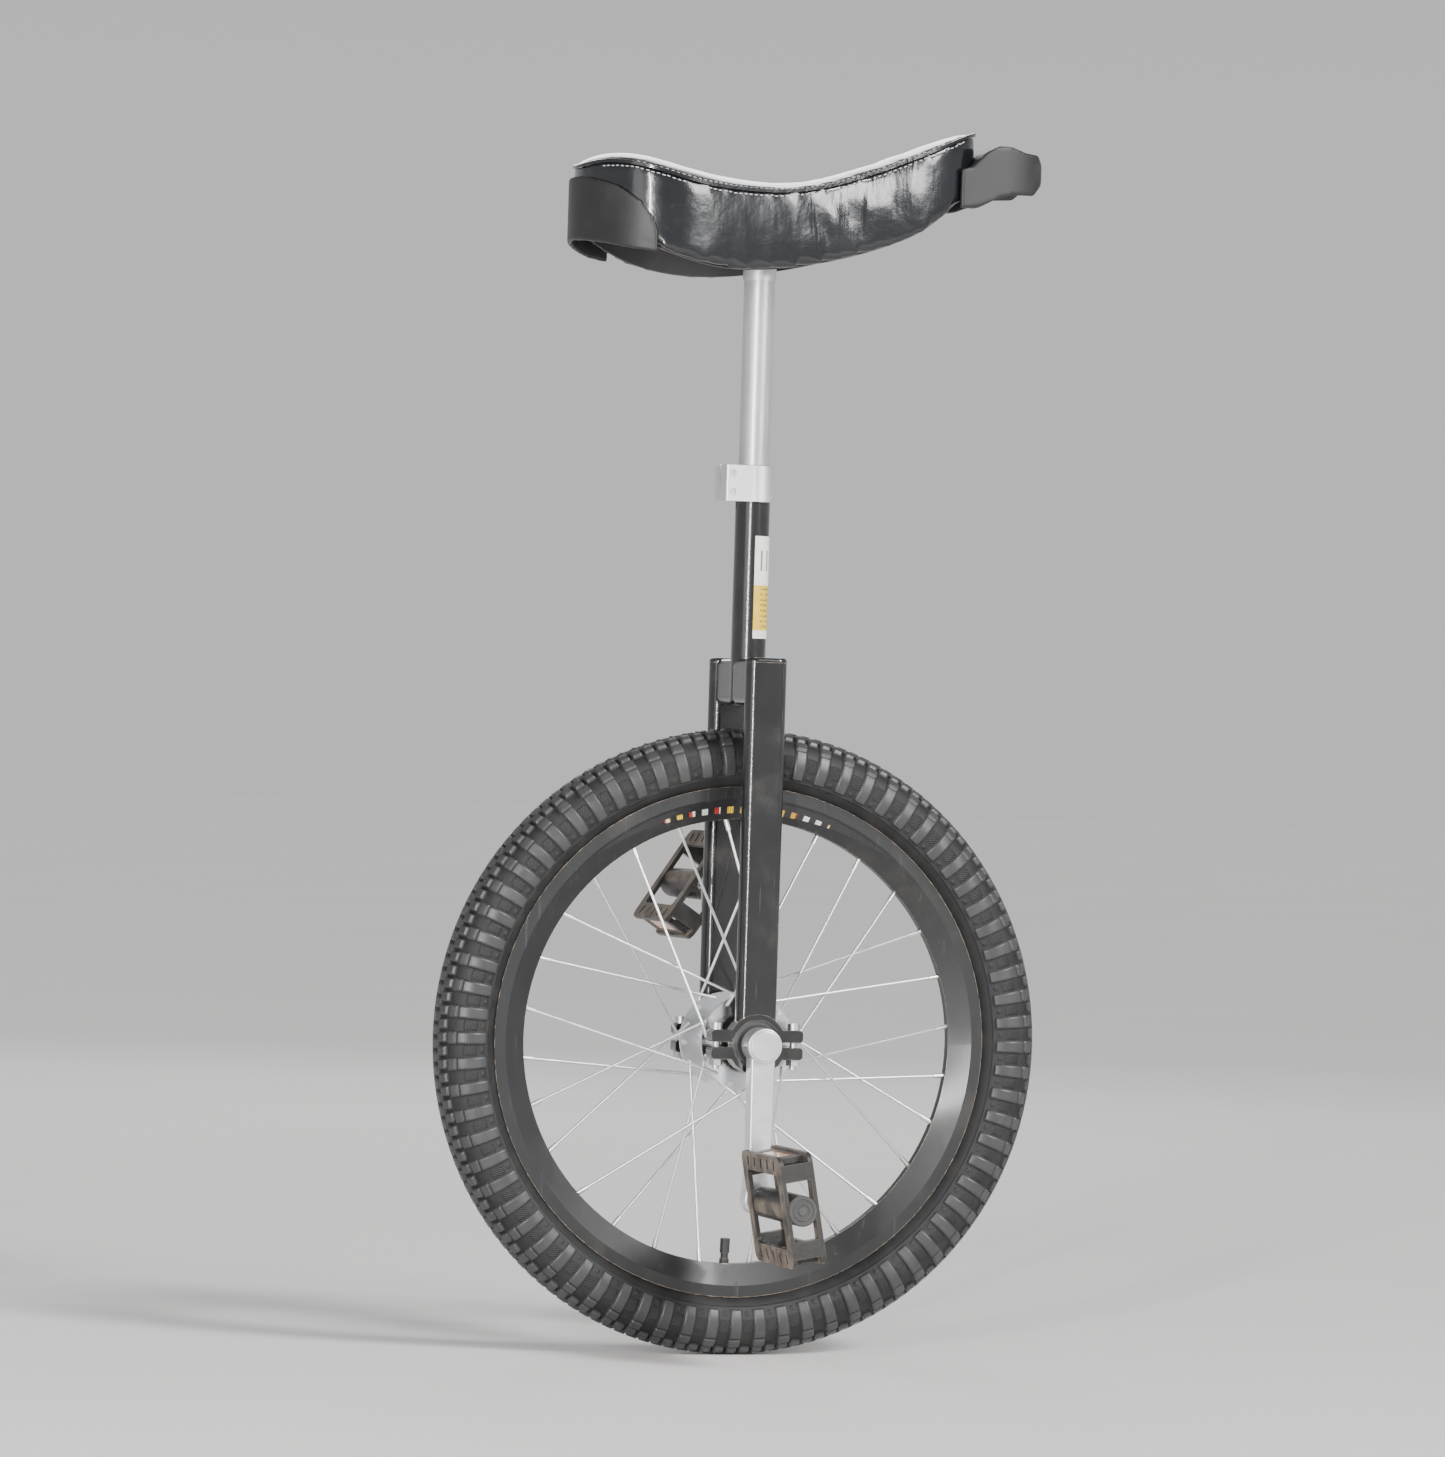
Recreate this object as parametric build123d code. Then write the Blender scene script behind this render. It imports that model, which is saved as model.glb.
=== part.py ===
from build123d import *
import math
import os

# A twenty inch learner's unicycle, in millimetres.
# +Z is up, +X is forward (the handle end of the saddle), +Y is the rider's left.
# The origin lies on the ground under the axle, and the axle runs along Y.
# SIDES maps each side's name to the sign of its Y.

SIDES = {"right": -1, "left": 1}
MIN_ALIGN = (Align.CENTER, Align.CENTER, Align.MIN)

# ---------------------------------------------------------------- driving dimensions

# Clearances
weld_gap = 0.05             # between two round faces of one body that touch on the real object
running_gap = 0.05          # radial running clearance
layer_gap = 0.1             # between the nested layers of the saddle and of the wheel

# Wheel
tyre_r = 257.0              # outside radius, also the height of the axle
tyre_section_r = 27.0
tyre_wall = 3.5
inner_tube_wall = 1.2
bead_width = 3.4
bead_height = 5.0
rim_r = tyre_r - 47.5       # top of the rim's flanges
rim_half_width = 13.0
rim_wall = 1.9
rim_bed_r = rim_r - 6.5     # where the tyre's beads sit
rim_bed_wall = 1.6
rim_shoulder_r = rim_r - 9.5    # where the rim's flanks start to slope inward
rim_apex_r = rim_r - 26.9
rim_apex_half_width = 4.2
rim_apex_wall = 2.6
strip_thickness = 0.8
strip_half_width = 7.0
decal_thickness = 0.3
decal_half_angle = 41.0
valve_base_r = 4.0
valve_stem_r = 3.2
valve_stem_low_r = rim_apex_r - 16.6
valve_cap_r = 4.0
valve_cap_low_r = rim_apex_r - 20.6
valve_cap_high_r = rim_apex_r - 8.6

# Spokes
spoke_count = 28
spoke_r = 1.15
first_spoke_angle = 4.9     # degrees, of the first nipple, from +X towards +Z
spoke_crosses = 2
nipple_r = 2.0
nipple_head_r = 2.6
nipple_head_height = 2.0
nipple_length = 15.0
nipple_bore_gap = 0.1
nipple_lift = 0.9           # of the tilted head above the apex wall
access_hole_r = 4.0
spoke_head_r = 2.0
spoke_head_height = 1.0

# Hub and axle
flange_y = 30.0             # middle of each hub flange
flange_r = 39.5
flange_thickness = 3.2
spoke_circle_r = 36.0
hub_barrel_r = 17.0
hub_end_y = 38.0
hub_end_r = 14.5
axle_body_r = 11.0
square_side = 13.4          # square end of the axle, at its root
square_taper = 0.9          # how much smaller the square is at its tip
square_length = 13.5

# Bearings: 17 x 40 x 12
bearing_y = 50.0
bearing_bore_r = 8.5
bearing_r = 20.0
bearing_width = 12.0
ball_count = 8
ball_r = 3.35
inner_land_r = 11.9
outer_land_r = 16.4
shield_thickness = 0.5
cage_half_width = 4.4
cage_wall = 1.2

# Cranks
crank_length = 125.0
crank_inner_y = 60.0
crank_boss_r = 14.4
crank_boss_width = 19.3
crank_arm_y = 62.0
crank_arm_thickness = 13.0
crank_root_half = 10.5
crank_eye_r = 12.5
crank_eye_root = 30.0       # where the arm starts to widen into the pedal eye
crank_recess_r = 10.6
crank_bolt_r = 4.0
crank_bolt_head_r = 8.0
crank_bolt_head_height = 5.0
crank_bolt_length = 18.0
dust_cap_r = 12.4
dust_cap_height = 1.5

# Frame
leg_depth = 34.5            # along X
leg_width = 16.5            # along Y
leg_wall = 1.6
leg_cap_height = 4.0
seat_tube_r = 14.3
seat_tube_bottom_z = 2 * tyre_r + 22.0
seat_tube_top_z = seat_tube_bottom_z + 191.0
leg_top_z = seat_tube_bottom_z + 36.0
crown_height = 38.0
crown_depth = 27.0
crown_wall = 2.0
holder_r = 24.5             # ring around the bearing
holder_width = 15.0
holder_gap = 4.0            # between the upper and lower halves
ear_reach = 39.0
ear_thickness = 10.0
ear_bolt_x = 33.0
ear_bolt_r = 3.0
ear_bolt_head_r = 5.0
ear_bolt_head_height = 5.5
ear_nut_height = 5.0
ear_bolt_tail = 3.0

# Seat post and clamp
post_r = 12.7
post_wall = 2.2
post_length = 300.0
clamp_r = 17.0
clamp_rear = 28.5           # how far the ears reach behind the post's axis
clamp_half_width = 16.2
clamp_bottom_z = seat_tube_top_z - 27.0
clamp_top_z = seat_tube_top_z + 3.0
clamp_lip = 2.6
clamp_slot = 3.0
clamp_bolt_r = 3.0
clamp_bolt_head_r = 5.0
clamp_bolt_head_height = 6.0
clamp_bolt_spacing = 15.0
clamp_bolt_x = -22.5
tube_slot_length = 34.0
label_bottom_z = seat_tube_bottom_z + 52.0
label_top_z = seat_tube_bottom_z + 136.0
label_thickness = 0.3
label_start = -95.0         # degrees around the seat tube, from +X towards +Y
label_end = 10.0

# Pedals
pedal_half_length = 45.0    # fore and aft of the spindle
pedal_inner_y = 90.0
pedal_outer_y = 190.0
pedal_half_thickness = 14.0
plate_thickness = 3.6
barrel_r = 12.4
pedal_bar = 15.0            # width of the gripping bars at the fore and aft edges
pedal_side_bar = 11.0
rib_slot_count = 5
rib_slot_width = 3.2
rib_slot_length = 9.0
rib_slot_angle = 18.0
end_cap_r = 11.2
end_cap_height = 2.0
pedal_spindle_r = 5.0
pedal_thread_r = 7.1
pedal_flange_r = 8.6
pedal_flange_width = 3.0
pedal_cup_r = 9.4
pedal_cup_wall = 1.0
pedal_cup_depth = 9.0
pedal_ball_r = 1.9
pedal_ball_count = 10
reflector_length = 52.0
reflector_height = 13.0
reflector_thickness = 2.6
pedal_tilt = {"right": 100.3, "left": 56.0}   # degrees of the pedal's length above +X, at rest

# Saddle, whose heights are given for a seat tube that ends 727 above the ground
saddle_lift = seat_tube_top_z - 727.0

# Profile of its crown and of its lower edge, as (x, z), and its half plan, as (x, y)
saddle_crown = [(-175, 954), (-150, 974), (-120, 980), (-72, 971), (-28, 964), (15, 963),
                (65, 973), (117, 992), (155, 1007), (195, 1008)]
saddle_hem = [(-180, 930), (-150, 917), (-110, 900), (-70, 888), (-31, 885), (0, 887.5),
              (50, 897), (99, 912), (129, 926), (152, 944), (200, 986)]
saddle_plan = [(-150, 34), (-128, 62), (-95, 74), (-45, 67), (0, 57), (55, 47), (110, 42),
               (150, 37), (172, 24)]
saddle_rear_x = -159.0
saddle_front_x = 181.0
crown_radius = 175.0        # of the crown, across the saddle
cover_thickness = 1.2
foam_top = 23.0
foam_side = 8.0
base_thickness = 3.2
piping_r = 1.3
bumper_wall = 4.0
bumper_front_x = -110.0
handle_profile = [(160, 948), (176, 949), (192, 957), (206, 961), (227, 962), (238, 974),
                  (238, 986), (231, 996), (218, 997), (205, 1001), (193, 1001), (182, 995),
                  (170, 983), (160, 980)]
handle_plan = [(156, 38), (180, 37), (215, 33), (233, 24)]
handle_front_x = 239.0
handle_wall = 4.0
handle_web_x = 186.0        # rear wall of the finger hollow
bracket_length = 96.0
bracket_width = 52.0
bracket_thickness = 3.0
bracket_drop = 2.0          # of the bracket below the saddle's base, at the post
bracket_collar_r = 13.7
bracket_collar_bottom = 882.0
bracket_collar_top = 892.0
saddle_bolt_x = 36.0
saddle_bolt_y = 16.0
saddle_bolt_r = 3.0
saddle_nut_r = 5.0
saddle_nut_height = 5.0
saddle_washer_r = 6.5
saddle_washer_thickness = 1.2


# ---------------------------------------------------------------- helpers

def save(name, *solids):
    """Writes one node: a single solid, or a group of separate ones."""
    shape = solids[0] if len(solids) == 1 else Compound(list(solids))
    export_step(shape, f"parts/{name}.step")


def rod(start, end, radius):
    """A round bar between two points."""
    start, end = Vector(*start), Vector(*end)
    axis = end - start
    return Plane(origin=start, z_dir=axis) * Cylinder(radius, axis.length, align=MIN_ALIGN)


def y_rod(radius, y0, y1, x=0.0, z=0.0):
    return rod((x, y0, z), (x, y1, z), radius)


def z_rod(radius, z0, z1, x=0.0, y=0.0):
    return rod((x, y, z0), (x, y, z1), radius)


def block(x0, x1, y0, y1, z0, z1):
    middle = ((x0 + x1) / 2, (y0 + y1) / 2, (z0 + z1) / 2)
    return Pos(*middle) * Box(abs(x1 - x0), abs(y1 - y0), abs(z1 - z0))


def hexagon(flats_r, z0, z1, x=0.0, y=0.0):
    """A hexagonal prism along Z, given half its width across flats."""
    section = RegularPolygon(flats_r, 6, major_radius=False)
    return Pos(x, y, z0) * extrude(section, z1 - z0)


def spun(*profile):
    """Turns a closed outline of (y, r) points about the axle's line, through the origin."""
    points = [(r, y) for y, r in profile]
    face = Plane.XY * make_face(Polyline(*points, close=True))
    return revolve(face, Axis.Y)


def at_axle(shape):
    """Moves a shape made around the origin to the axle."""
    return Pos(0, 0, tyre_r) * shape


def on_wheel(radius, angle, y):
    """A point on the wheel, measured from the axle's centre."""
    turn = math.radians(angle)
    return (radius * math.cos(turn), y, radius * math.sin(turn))


def along(start, end, distance):
    """The point that lies some distance from start on the way to end."""
    start, end = Vector(*start), Vector(*end)
    point = start + (end - start).normalized() * distance
    return (point.X, point.Y, point.Z)


# ---------------------------------------------------------------- wheel

def flank_y(radius):
    """Half the rim's outside width at a radius on its sloping flank."""
    slope = (rim_half_width - rim_apex_half_width) / (rim_shoulder_r - rim_apex_r)
    return rim_apex_half_width + slope * (radius - rim_apex_r)


def make_tyre():
    centre = tyre_r - tyre_section_r
    bore_r = tyre_section_r - tyre_wall
    inside = rim_half_width - rim_wall - layer_gap
    outer = Pos(centre, 0) * Circle(tyre_section_r)
    outer -= Pos(centre, 0) * Circle(bore_r)
    below = rim_r + layer_gap
    outer -= Pos(below - tyre_r / 2, 0) * Rectangle(tyre_r, 4 * tyre_section_r)
    for side in SIDES.values():
        middle = side * (inside - bead_width / 2)
        bottom = rim_bed_r + layer_gap
        top = below + bead_height
        outer += Pos((bottom + top) / 2, middle) * Rectangle(top - bottom, bead_width)
        foot = side * (inside + rim_wall / 2)
        outer += Pos((below + top) / 2, foot) * Rectangle(bead_height, 2 * rim_wall + bead_width)
    return at_axle(revolve(Plane.XY * outer, Axis.Y))


def tube_section_r():
    return tyre_section_r - tyre_wall - 1.2


def tube_section(shrink):
    """The inner tube's section: round above the beads, with a foot between them."""
    centre = tyre_r - tyre_section_r
    floor = rim_r + bead_height + 1.0 + shrink
    bottom = rim_bed_r + strip_thickness + 2 * layer_gap + shrink
    ring = Pos(centre, 0) * Circle(tube_section_r() - shrink)
    ring -= Pos(floor - tyre_r / 2, 0) * Rectangle(tyre_r, 4 * tyre_section_r)
    foot_half = strip_half_width - 0.5 - shrink
    return ring + Pos((bottom + floor + 2) / 2, 0) * Rectangle(floor + 2 - bottom, 2 * foot_half)


def make_inner_tube():
    """A hollow rubber ring that fills the tyre, clear of the beads, with a hole for the valve."""
    tube = revolve(Plane.XY * (tube_section(0) - tube_section(inner_tube_wall)), Axis.Y)
    return at_axle(tube - rod(on_wheel(rim_bed_r, valve_angle(), 0),
                              on_wheel(rim_bed_r + 8, valve_angle(), 0), valve_stem_r))


def spoke_angle(index):
    return first_spoke_angle + index * 360 / spoke_count


def valve_angle():
    """Midway between the two lowest nipples that leave room for it."""
    return spoke_angle(20) + 180 / spoke_count


def spoke_ends(index):
    """Where a spoke passes its flange and where its nipple's head sits, from the axle's centre.

    Even spokes run to the left flange and odd ones to the right one. Of each flange's spokes,
    every second one leans forward and passes outside the flange.
    """
    side = 1 if index % 2 == 0 else -1
    lean = 1 if index % 4 in (1, 2) else -1
    hub_angle = spoke_angle(index) + lean * spoke_crosses * 2 * 360 / spoke_count
    outside = 1 if lean > 0 else -1
    face_y = side * (flange_y + outside * (flange_thickness / 2 + spoke_r + running_gap))
    elbow = on_wheel(spoke_circle_r, hub_angle, face_y)
    seat = on_wheel(rim_apex_r + rim_apex_wall + nipple_lift, spoke_angle(index), 0)
    return side, outside, hub_angle, elbow, seat


def spoke_bend(index):
    """The point from which a spoke runs straight to its nipple.

    A spoke outside its flange stays level with it until it is past the flange's edge.
    """
    side, outside, hub_angle, elbow, seat = spoke_ends(index)
    if outside < 0:
        return elbow
    level = Vector(seat[0], elbow[1], seat[2])
    direction = (level - Vector(*elbow)).normalized()
    reach = direction.X * elbow[0] + direction.Z * elbow[2]
    clear_r = flange_r + 2 * spoke_r
    length = -reach + math.sqrt(reach ** 2 + clear_r ** 2 - spoke_circle_r ** 2)
    return along(elbow, (level.X, level.Y, level.Z), length)


def make_spoke(index):
    side, outside, hub_angle, elbow, seat = spoke_ends(index)
    bend = spoke_bend(index)
    far_face = side * (flange_y - outside * (flange_thickness / 2 + running_gap))
    head_end = far_face - side * outside * spoke_head_height
    spoke = Pos(*elbow) * Sphere(spoke_r)
    spoke += y_rod(spoke_r, elbow[1], far_face, elbow[0], elbow[2])
    spoke += y_rod(spoke_head_r, far_face, head_end, elbow[0], elbow[2])
    if outside > 0:
        spoke += rod(elbow, bend, spoke_r)
        spoke += Pos(*bend) * Sphere(spoke_r)
    spoke += rod(bend, along(seat, bend, nipple_head_height), spoke_r)
    return at_axle(spoke)


def make_nipple(index):
    """A headed sleeve that hangs in the rim's apex, in line with its spoke."""
    seat = spoke_ends(index)[4]
    bend = spoke_bend(index)
    top = along(seat, bend, -nipple_head_height)
    tip = along(top, bend, nipple_length)
    nipple = rod(top, seat, nipple_head_r) + rod(seat, tip, nipple_r)
    nipple -= rod(top, tip, spoke_r + nipple_bore_gap)
    return at_axle(nipple)


def make_rim():
    bed = rim_bed_r - rim_bed_wall
    slope_wall = rim_wall * math.hypot(1, flank_y(rim_apex_r + 1) - rim_apex_half_width)
    chamber_low = rim_apex_r + rim_apex_wall
    outside = [(rim_half_width, rim_r), (rim_half_width, rim_shoulder_r),
               (rim_apex_half_width, rim_apex_r)]
    inside = [(rim_half_width - rim_wall, rim_bed_r), (rim_half_width - rim_wall, rim_r)]
    outline = outside + [(-y, r) for y, r in reversed(outside)]
    outline += [(-y, r) for y, r in reversed(inside)] + inside
    chamber = [(rim_half_width - slope_wall, bed), (rim_half_width - slope_wall, rim_shoulder_r),
               (flank_y(chamber_low) - slope_wall, chamber_low)]
    rim = at_axle(spun(*outline) - spun(*chamber, *[(-y, r) for y, r in reversed(chamber)]))
    holes = []
    for index in range(spoke_count):
        seat = spoke_ends(index)[4]
        bend = spoke_bend(index)
        holes.append(rod(seat, along(seat, bend, 8), nipple_r + running_gap))
        angle = spoke_angle(index)
        holes.append(rod(on_wheel(bed - 1, angle, 0), on_wheel(rim_bed_r + 1, angle, 0), access_hole_r))
    low = on_wheel(rim_apex_r - 2, valve_angle(), 0)
    high = on_wheel(rim_bed_r + 1, valve_angle(), 0)
    holes.append(rod(low, high, valve_base_r + running_gap))
    return rim - [at_axle(hole) for hole in holes]


def make_rim_strip():
    bottom = rim_bed_r + layer_gap
    top = bottom + strip_thickness
    half = strip_half_width
    strip = spun((-half, bottom), (half, bottom), (half, top), (-half, top))
    hole = rod(on_wheel(bottom - 2, valve_angle(), 0), on_wheel(top + 2, valve_angle(), 0),
               valve_base_r + running_gap)
    return at_axle(strip - hole)


def make_valve_stem():
    angle = valve_angle()
    top = rim_bed_r + strip_thickness + layer_gap
    stem = rod(on_wheel(top, angle, 0), on_wheel(rim_apex_r - 4, angle, 0), valve_base_r)
    stem += rod(on_wheel(top, angle, 0), on_wheel(valve_stem_low_r, angle, 0), valve_stem_r)
    return at_axle(stem)


def make_valve_cap():
    angle = valve_angle()
    cap = rod(on_wheel(valve_cap_high_r, angle, 0), on_wheel(valve_cap_low_r, angle, 0), valve_cap_r)
    cap -= rod(on_wheel(valve_cap_high_r + 1, angle, 0), on_wheel(valve_stem_low_r - 1, angle, 0),
               valve_stem_r + running_gap)
    return at_axle(cap)


def make_rim_decal(side):
    """A thin curved sticker on the upper flank of the rim, pointed at both ends."""
    low, high = rim_apex_r + 5.0, rim_shoulder_r - 2.0
    outline = [(side * flank_y(low), low), (side * flank_y(high), high),
               (side * (flank_y(high) + decal_thickness), high),
               (side * (flank_y(low) + decal_thickness), low)]
    band = spun(*outline)
    reach = high * math.sin(math.radians(decal_half_angle))
    edge = high * math.cos(math.radians(decal_half_angle))
    lens = make_face([ThreePointArc((-reach, edge), (0, high), (reach, edge)),
                      ThreePointArc((reach, edge), (0, low), (-reach, edge))])
    prism = extrude(Plane.XZ * lens, 2 * rim_half_width, both=True)
    return at_axle(band & prism)


# ---------------------------------------------------------------- hub, axle, bearings

def make_hub_shell():
    half = flange_thickness / 2
    right = [(-hub_end_y, hub_end_r), (-flange_y - half, hub_barrel_r), (-flange_y - half, flange_r),
             (-flange_y + half, flange_r), (-flange_y + half, hub_barrel_r + 2.5),
             (-flange_y + half + 4, hub_barrel_r)]
    outline = right + [(-y, r) for y, r in reversed(right)]
    bore = axle_body_r + weld_gap
    shell = spun(*outline, (hub_end_y, bore), (-hub_end_y, bore))
    holes = []
    for index in range(spoke_count):
        side, outside, hub_angle, elbow, seat = spoke_ends(index)
        holes.append(y_rod(spoke_r + 0.2, side * (flange_y - half - 1), side * (flange_y + half + 1),
                           elbow[0], elbow[2]))
    return at_axle(shell - holes)


def make_hub_axle():
    shoulder_y = bearing_y - bearing_width / 2
    neck_r = bearing_bore_r - weld_gap
    axle = y_rod(axle_body_r, -shoulder_y, shoulder_y)
    axle += y_rod(neck_r, -crank_inner_y, crank_inner_y)
    for side in SIDES.values():
        axle += square_end(side, 0.0) & y_rod(neck_r, side * crank_inner_y,
                                              side * (crank_inner_y + square_length))
        axle -= y_rod(crank_bolt_r + weld_gap, side * (crank_inner_y + square_length),
                      side * (crank_inner_y + square_length - crank_bolt_length - 2))
    return at_axle(axle)


def square_end(side, gap):
    """The tapered square on one end of the axle, or the hole for it when gap isn't zero."""
    root = square_side + 2 * gap
    tip = root - square_taper
    start = Plane(origin=(0, side * crank_inner_y, 0), z_dir=(0, side, 0), x_dir=(1, 0, 0))
    end = Plane(origin=(0, side * (crank_inner_y + square_length), 0), z_dir=(0, side, 0),
                x_dir=(1, 0, 0))
    return loft([start * Rectangle(root, root), end * Rectangle(tip, tip)])


def ball_circle_r():
    return (inner_land_r + outer_land_r) / 2


def ball_groove(side):
    groove = Plane(origin=(0, side * bearing_y, 0), z_dir=(0, 1, 0))
    return groove * Torus(ball_circle_r(), ball_r + running_gap)


def bearing_ring(side, inner, outer, half_width=bearing_width / 2):
    middle = side * bearing_y
    return spun((middle - half_width, inner), (middle + half_width, inner),
                (middle + half_width, outer), (middle - half_width, outer))


def make_inner_race(side):
    return at_axle(bearing_ring(side, bearing_bore_r, inner_land_r) - ball_groove(side))


def make_outer_race(side):
    ring = bearing_ring(side, outer_land_r, bearing_r) - ball_groove(side)
    for face in SIDES.values():
        ring -= Pos(0, face * (bearing_width / 2 - shield_thickness / 2), 0) * bearing_ring(
            side, outer_land_r - 1, outer_land_r + 0.8, shield_thickness / 2)
    return at_axle(ring)


def make_shields(side):
    """The two thin covers of one bearing, held by its outer race."""
    return [at_axle(Pos(0, face * (bearing_width / 2 - shield_thickness / 2), 0)
                    * bearing_ring(side, inner_land_r + 0.3, outer_land_r + 0.8 - weld_gap,
                                   shield_thickness / 2))
            for face in SIDES.values()]


def ball_centres(side):
    return [on_wheel(ball_circle_r(), number * 360 / ball_count, side * bearing_y)
            for number in range(ball_count)]


def make_balls(side):
    return [at_axle(Pos(*centre) * Sphere(ball_r)) for centre in ball_centres(side)]


def make_cage(side):
    middle_r = ball_circle_r()
    cage = bearing_ring(side, middle_r - cage_wall / 2, middle_r + cage_wall / 2, cage_half_width)
    pockets = [rod((0, side * bearing_y, 0), centre, ball_r + running_gap)
               for centre in (on_wheel(middle_r + cage_wall, number * 360 / ball_count,
                                       side * bearing_y) for number in range(ball_count))]
    return at_axle(cage - pockets)


def make_axle_spacer(side):
    """Fills the space on the axle between a bearing and its crank."""
    start = side * (bearing_y + bearing_width / 2)
    spacer = y_rod(inner_land_r - 0.9, start, side * crank_inner_y)
    spacer -= y_rod(bearing_bore_r, start, side * crank_inner_y)
    return at_axle(spacer)


# ---------------------------------------------------------------- cranks and pedals

def crank_angle(side):
    """The right crank hangs straight down and the left one stands straight up."""
    return -90.0 if side < 0 else 90.0


def pedal_centre(side):
    return on_wheel(crank_length, crank_angle(side), 0)


def make_crank(side):
    eye_z = crank_length
    boss_end = crank_inner_y + crank_boss_width
    arm = make_face(Polyline((-crank_root_half, 0), (crank_root_half, 0),
                             (crank_root_half - 0.8, eye_z - crank_eye_root),
                             (crank_eye_r - 0.2, eye_z), (-crank_eye_r + 0.2, eye_z),
                             (-crank_root_half + 0.8, eye_z - crank_eye_root), close=True))
    arm += Pos(0, eye_z) * Circle(crank_eye_r)
    arm = extrude(arm, crank_arm_thickness)
    arm = fillet(arm.edges().group_by(Axis.Z)[-1], 2.0)
    crank = Pos(0, 0, crank_arm_y - crank_inner_y) * arm
    boss = Cylinder(crank_boss_r, crank_boss_width, align=MIN_ALIGN)
    crank += fillet(boss.edges().group_by(Axis.Z)[-1], 1.0)
    recess_depth = boss_end - crank_inner_y - square_length
    crank -= Pos(0, 0, square_length) * Cylinder(crank_recess_r, recess_depth + 1, align=MIN_ALIGN)
    crank -= Pos(0, eye_z, 0) * Cylinder(pedal_thread_r + weld_gap, 60)
    placed = Plane(origin=(0, side * crank_inner_y, 0), z_dir=(0, side, 0),
                   x_dir=(-1 if side < 0 else 1, 0, 0)) * crank
    if crank_angle(side) * placed.center().Z < 0:
        placed = Rot(0, 180, 0) * placed
    return at_axle(placed - square_end(side, weld_gap))


def make_crank_bolt(side):
    seat = crank_inner_y + square_length
    bolt = y_rod(crank_bolt_r, side * (seat - crank_bolt_length), side * seat)
    bolt += y_rod(crank_bolt_head_r, side * seat, side * (seat + crank_bolt_head_height))
    socket = Plane(origin=(0, side * (seat + 1.5), 0), z_dir=(0, side, 0)) * extrude(
        RegularPolygon(4.0, 6, major_radius=False), crank_bolt_head_height)
    return at_axle(bolt - socket)


def make_dust_cap(side):
    face = crank_inner_y + crank_boss_width
    cap = y_rod(dust_cap_r, side * face, side * (face + dust_cap_height))
    cap = fillet(cap.edges().group_by(Axis.Y)[-1 if side > 0 else 0], 0.8)
    plug = y_rod(crank_recess_r - weld_gap, side * (face - 3), side * face)
    plug -= y_rod(crank_recess_r - 1.6, side * (face - 3), side * face)
    return at_axle(cap + plug)


def at_pedal(side, shape):
    """Moves a shape made around the axle's line, with its length along X, to its pedal."""
    name = "right" if side < 0 else "left"
    x, y, z = pedal_centre(side)
    return Pos(x, 0, z + tyre_r) * Rot(0, -pedal_tilt[name], 0) * shape


def pedal_plate(side, face):
    """One gripping plate: a frame around one large window, with slanted slots in its bars."""
    length, inner, outer = pedal_half_length, pedal_inner_y, pedal_outer_y
    corner = 8.0
    plate = Pos(0, (inner + outer) / 2) * RectangleRounded(2 * length, outer - inner, corner)
    window_y = outer - inner - 2 * pedal_side_bar
    plate -= Pos(0, (inner + outer) / 2) * RectangleRounded(2 * (length - pedal_bar), window_y, 4.0)
    pitch = (outer - inner - 2 * corner) / rib_slot_count
    for end in (-1, 1):
        for number in range(rib_slot_count):
            y = inner + corner + (number + 0.5) * pitch
            slot = Rot(0, 0, end * rib_slot_angle) * SlotOverall(rib_slot_length, rib_slot_width)
            plate -= Pos(end * (length - pedal_bar / 2), y) * slot
    low = pedal_half_thickness - plate_thickness
    solid = Pos(0, 0, low) * extrude(plate, plate_thickness)
    if face < 0:
        solid = mirror(solid, Plane.XY)
    return solid if side > 0 else mirror(solid, Plane.XZ)


def make_pedal_body(side):
    inner, outer = side * pedal_inner_y, side * pedal_outer_y
    gap = pedal_half_thickness - plate_thickness / 2
    body = pedal_plate(side, 1) + pedal_plate(side, -1)
    body += y_rod(barrel_r, inner, outer)
    wall = 4.5
    reach = pedal_half_length - 2.0
    for end in (-1, 1):
        y0, y1 = side * (pedal_inner_y + 12), side * (pedal_outer_y - 12)
        body += block(end * (reach - wall), end * reach, y0, y1, -gap, gap)
        for y0, y1 in ((inner, inner + side * 8), (outer - side * 8, outer)):
            body += block(end * (pedal_half_length - 21), end * (pedal_half_length - 7),
                          y0, y1, -gap, gap)
        pocket_y = (inner + outer) / 2
        half = reflector_length / 2 + running_gap
        body -= block(end * (reach - reflector_thickness), end * (reach + 5), pocket_y - half,
                      pocket_y + half, -reflector_height / 2 - running_gap,
                      reflector_height / 2 + running_gap)
    body -= y_rod(pedal_spindle_r + 1.5, inner - side, outer + side)
    for start, step in ((inner, side), (outer - side * end_cap_height, -side)):
        body -= y_rod(pedal_cup_r + weld_gap, start - step, start + step * pedal_cup_depth)
    body -= y_rod(end_cap_r + weld_gap, outer - side * end_cap_height, outer + side)
    return at_pedal(side, body)


def pedal_cup_starts(side):
    """The open face of each bearing cup, and the way its mouth points away from the middle."""
    return ((side * pedal_inner_y, side), (side * (pedal_outer_y - end_cap_height), -side))


def make_pedal_cups(side):
    """Two pressed steel cups, one at each end of the barrel."""
    cups = []
    for start, step in pedal_cup_starts(side):
        end = start + step * pedal_cup_depth
        cup = y_rod(pedal_cup_r, start + step * 2.5, end)
        cup -= y_rod(pedal_cup_r - pedal_cup_wall, start, end - step * pedal_cup_wall)
        cup -= y_rod(pedal_spindle_r + 1.5, start, end + step)
        cups.append(at_pedal(side, cup))
    return cups


def pedal_ball_circle_r():
    return pedal_cup_r - pedal_cup_wall - pedal_ball_r - running_gap


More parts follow.
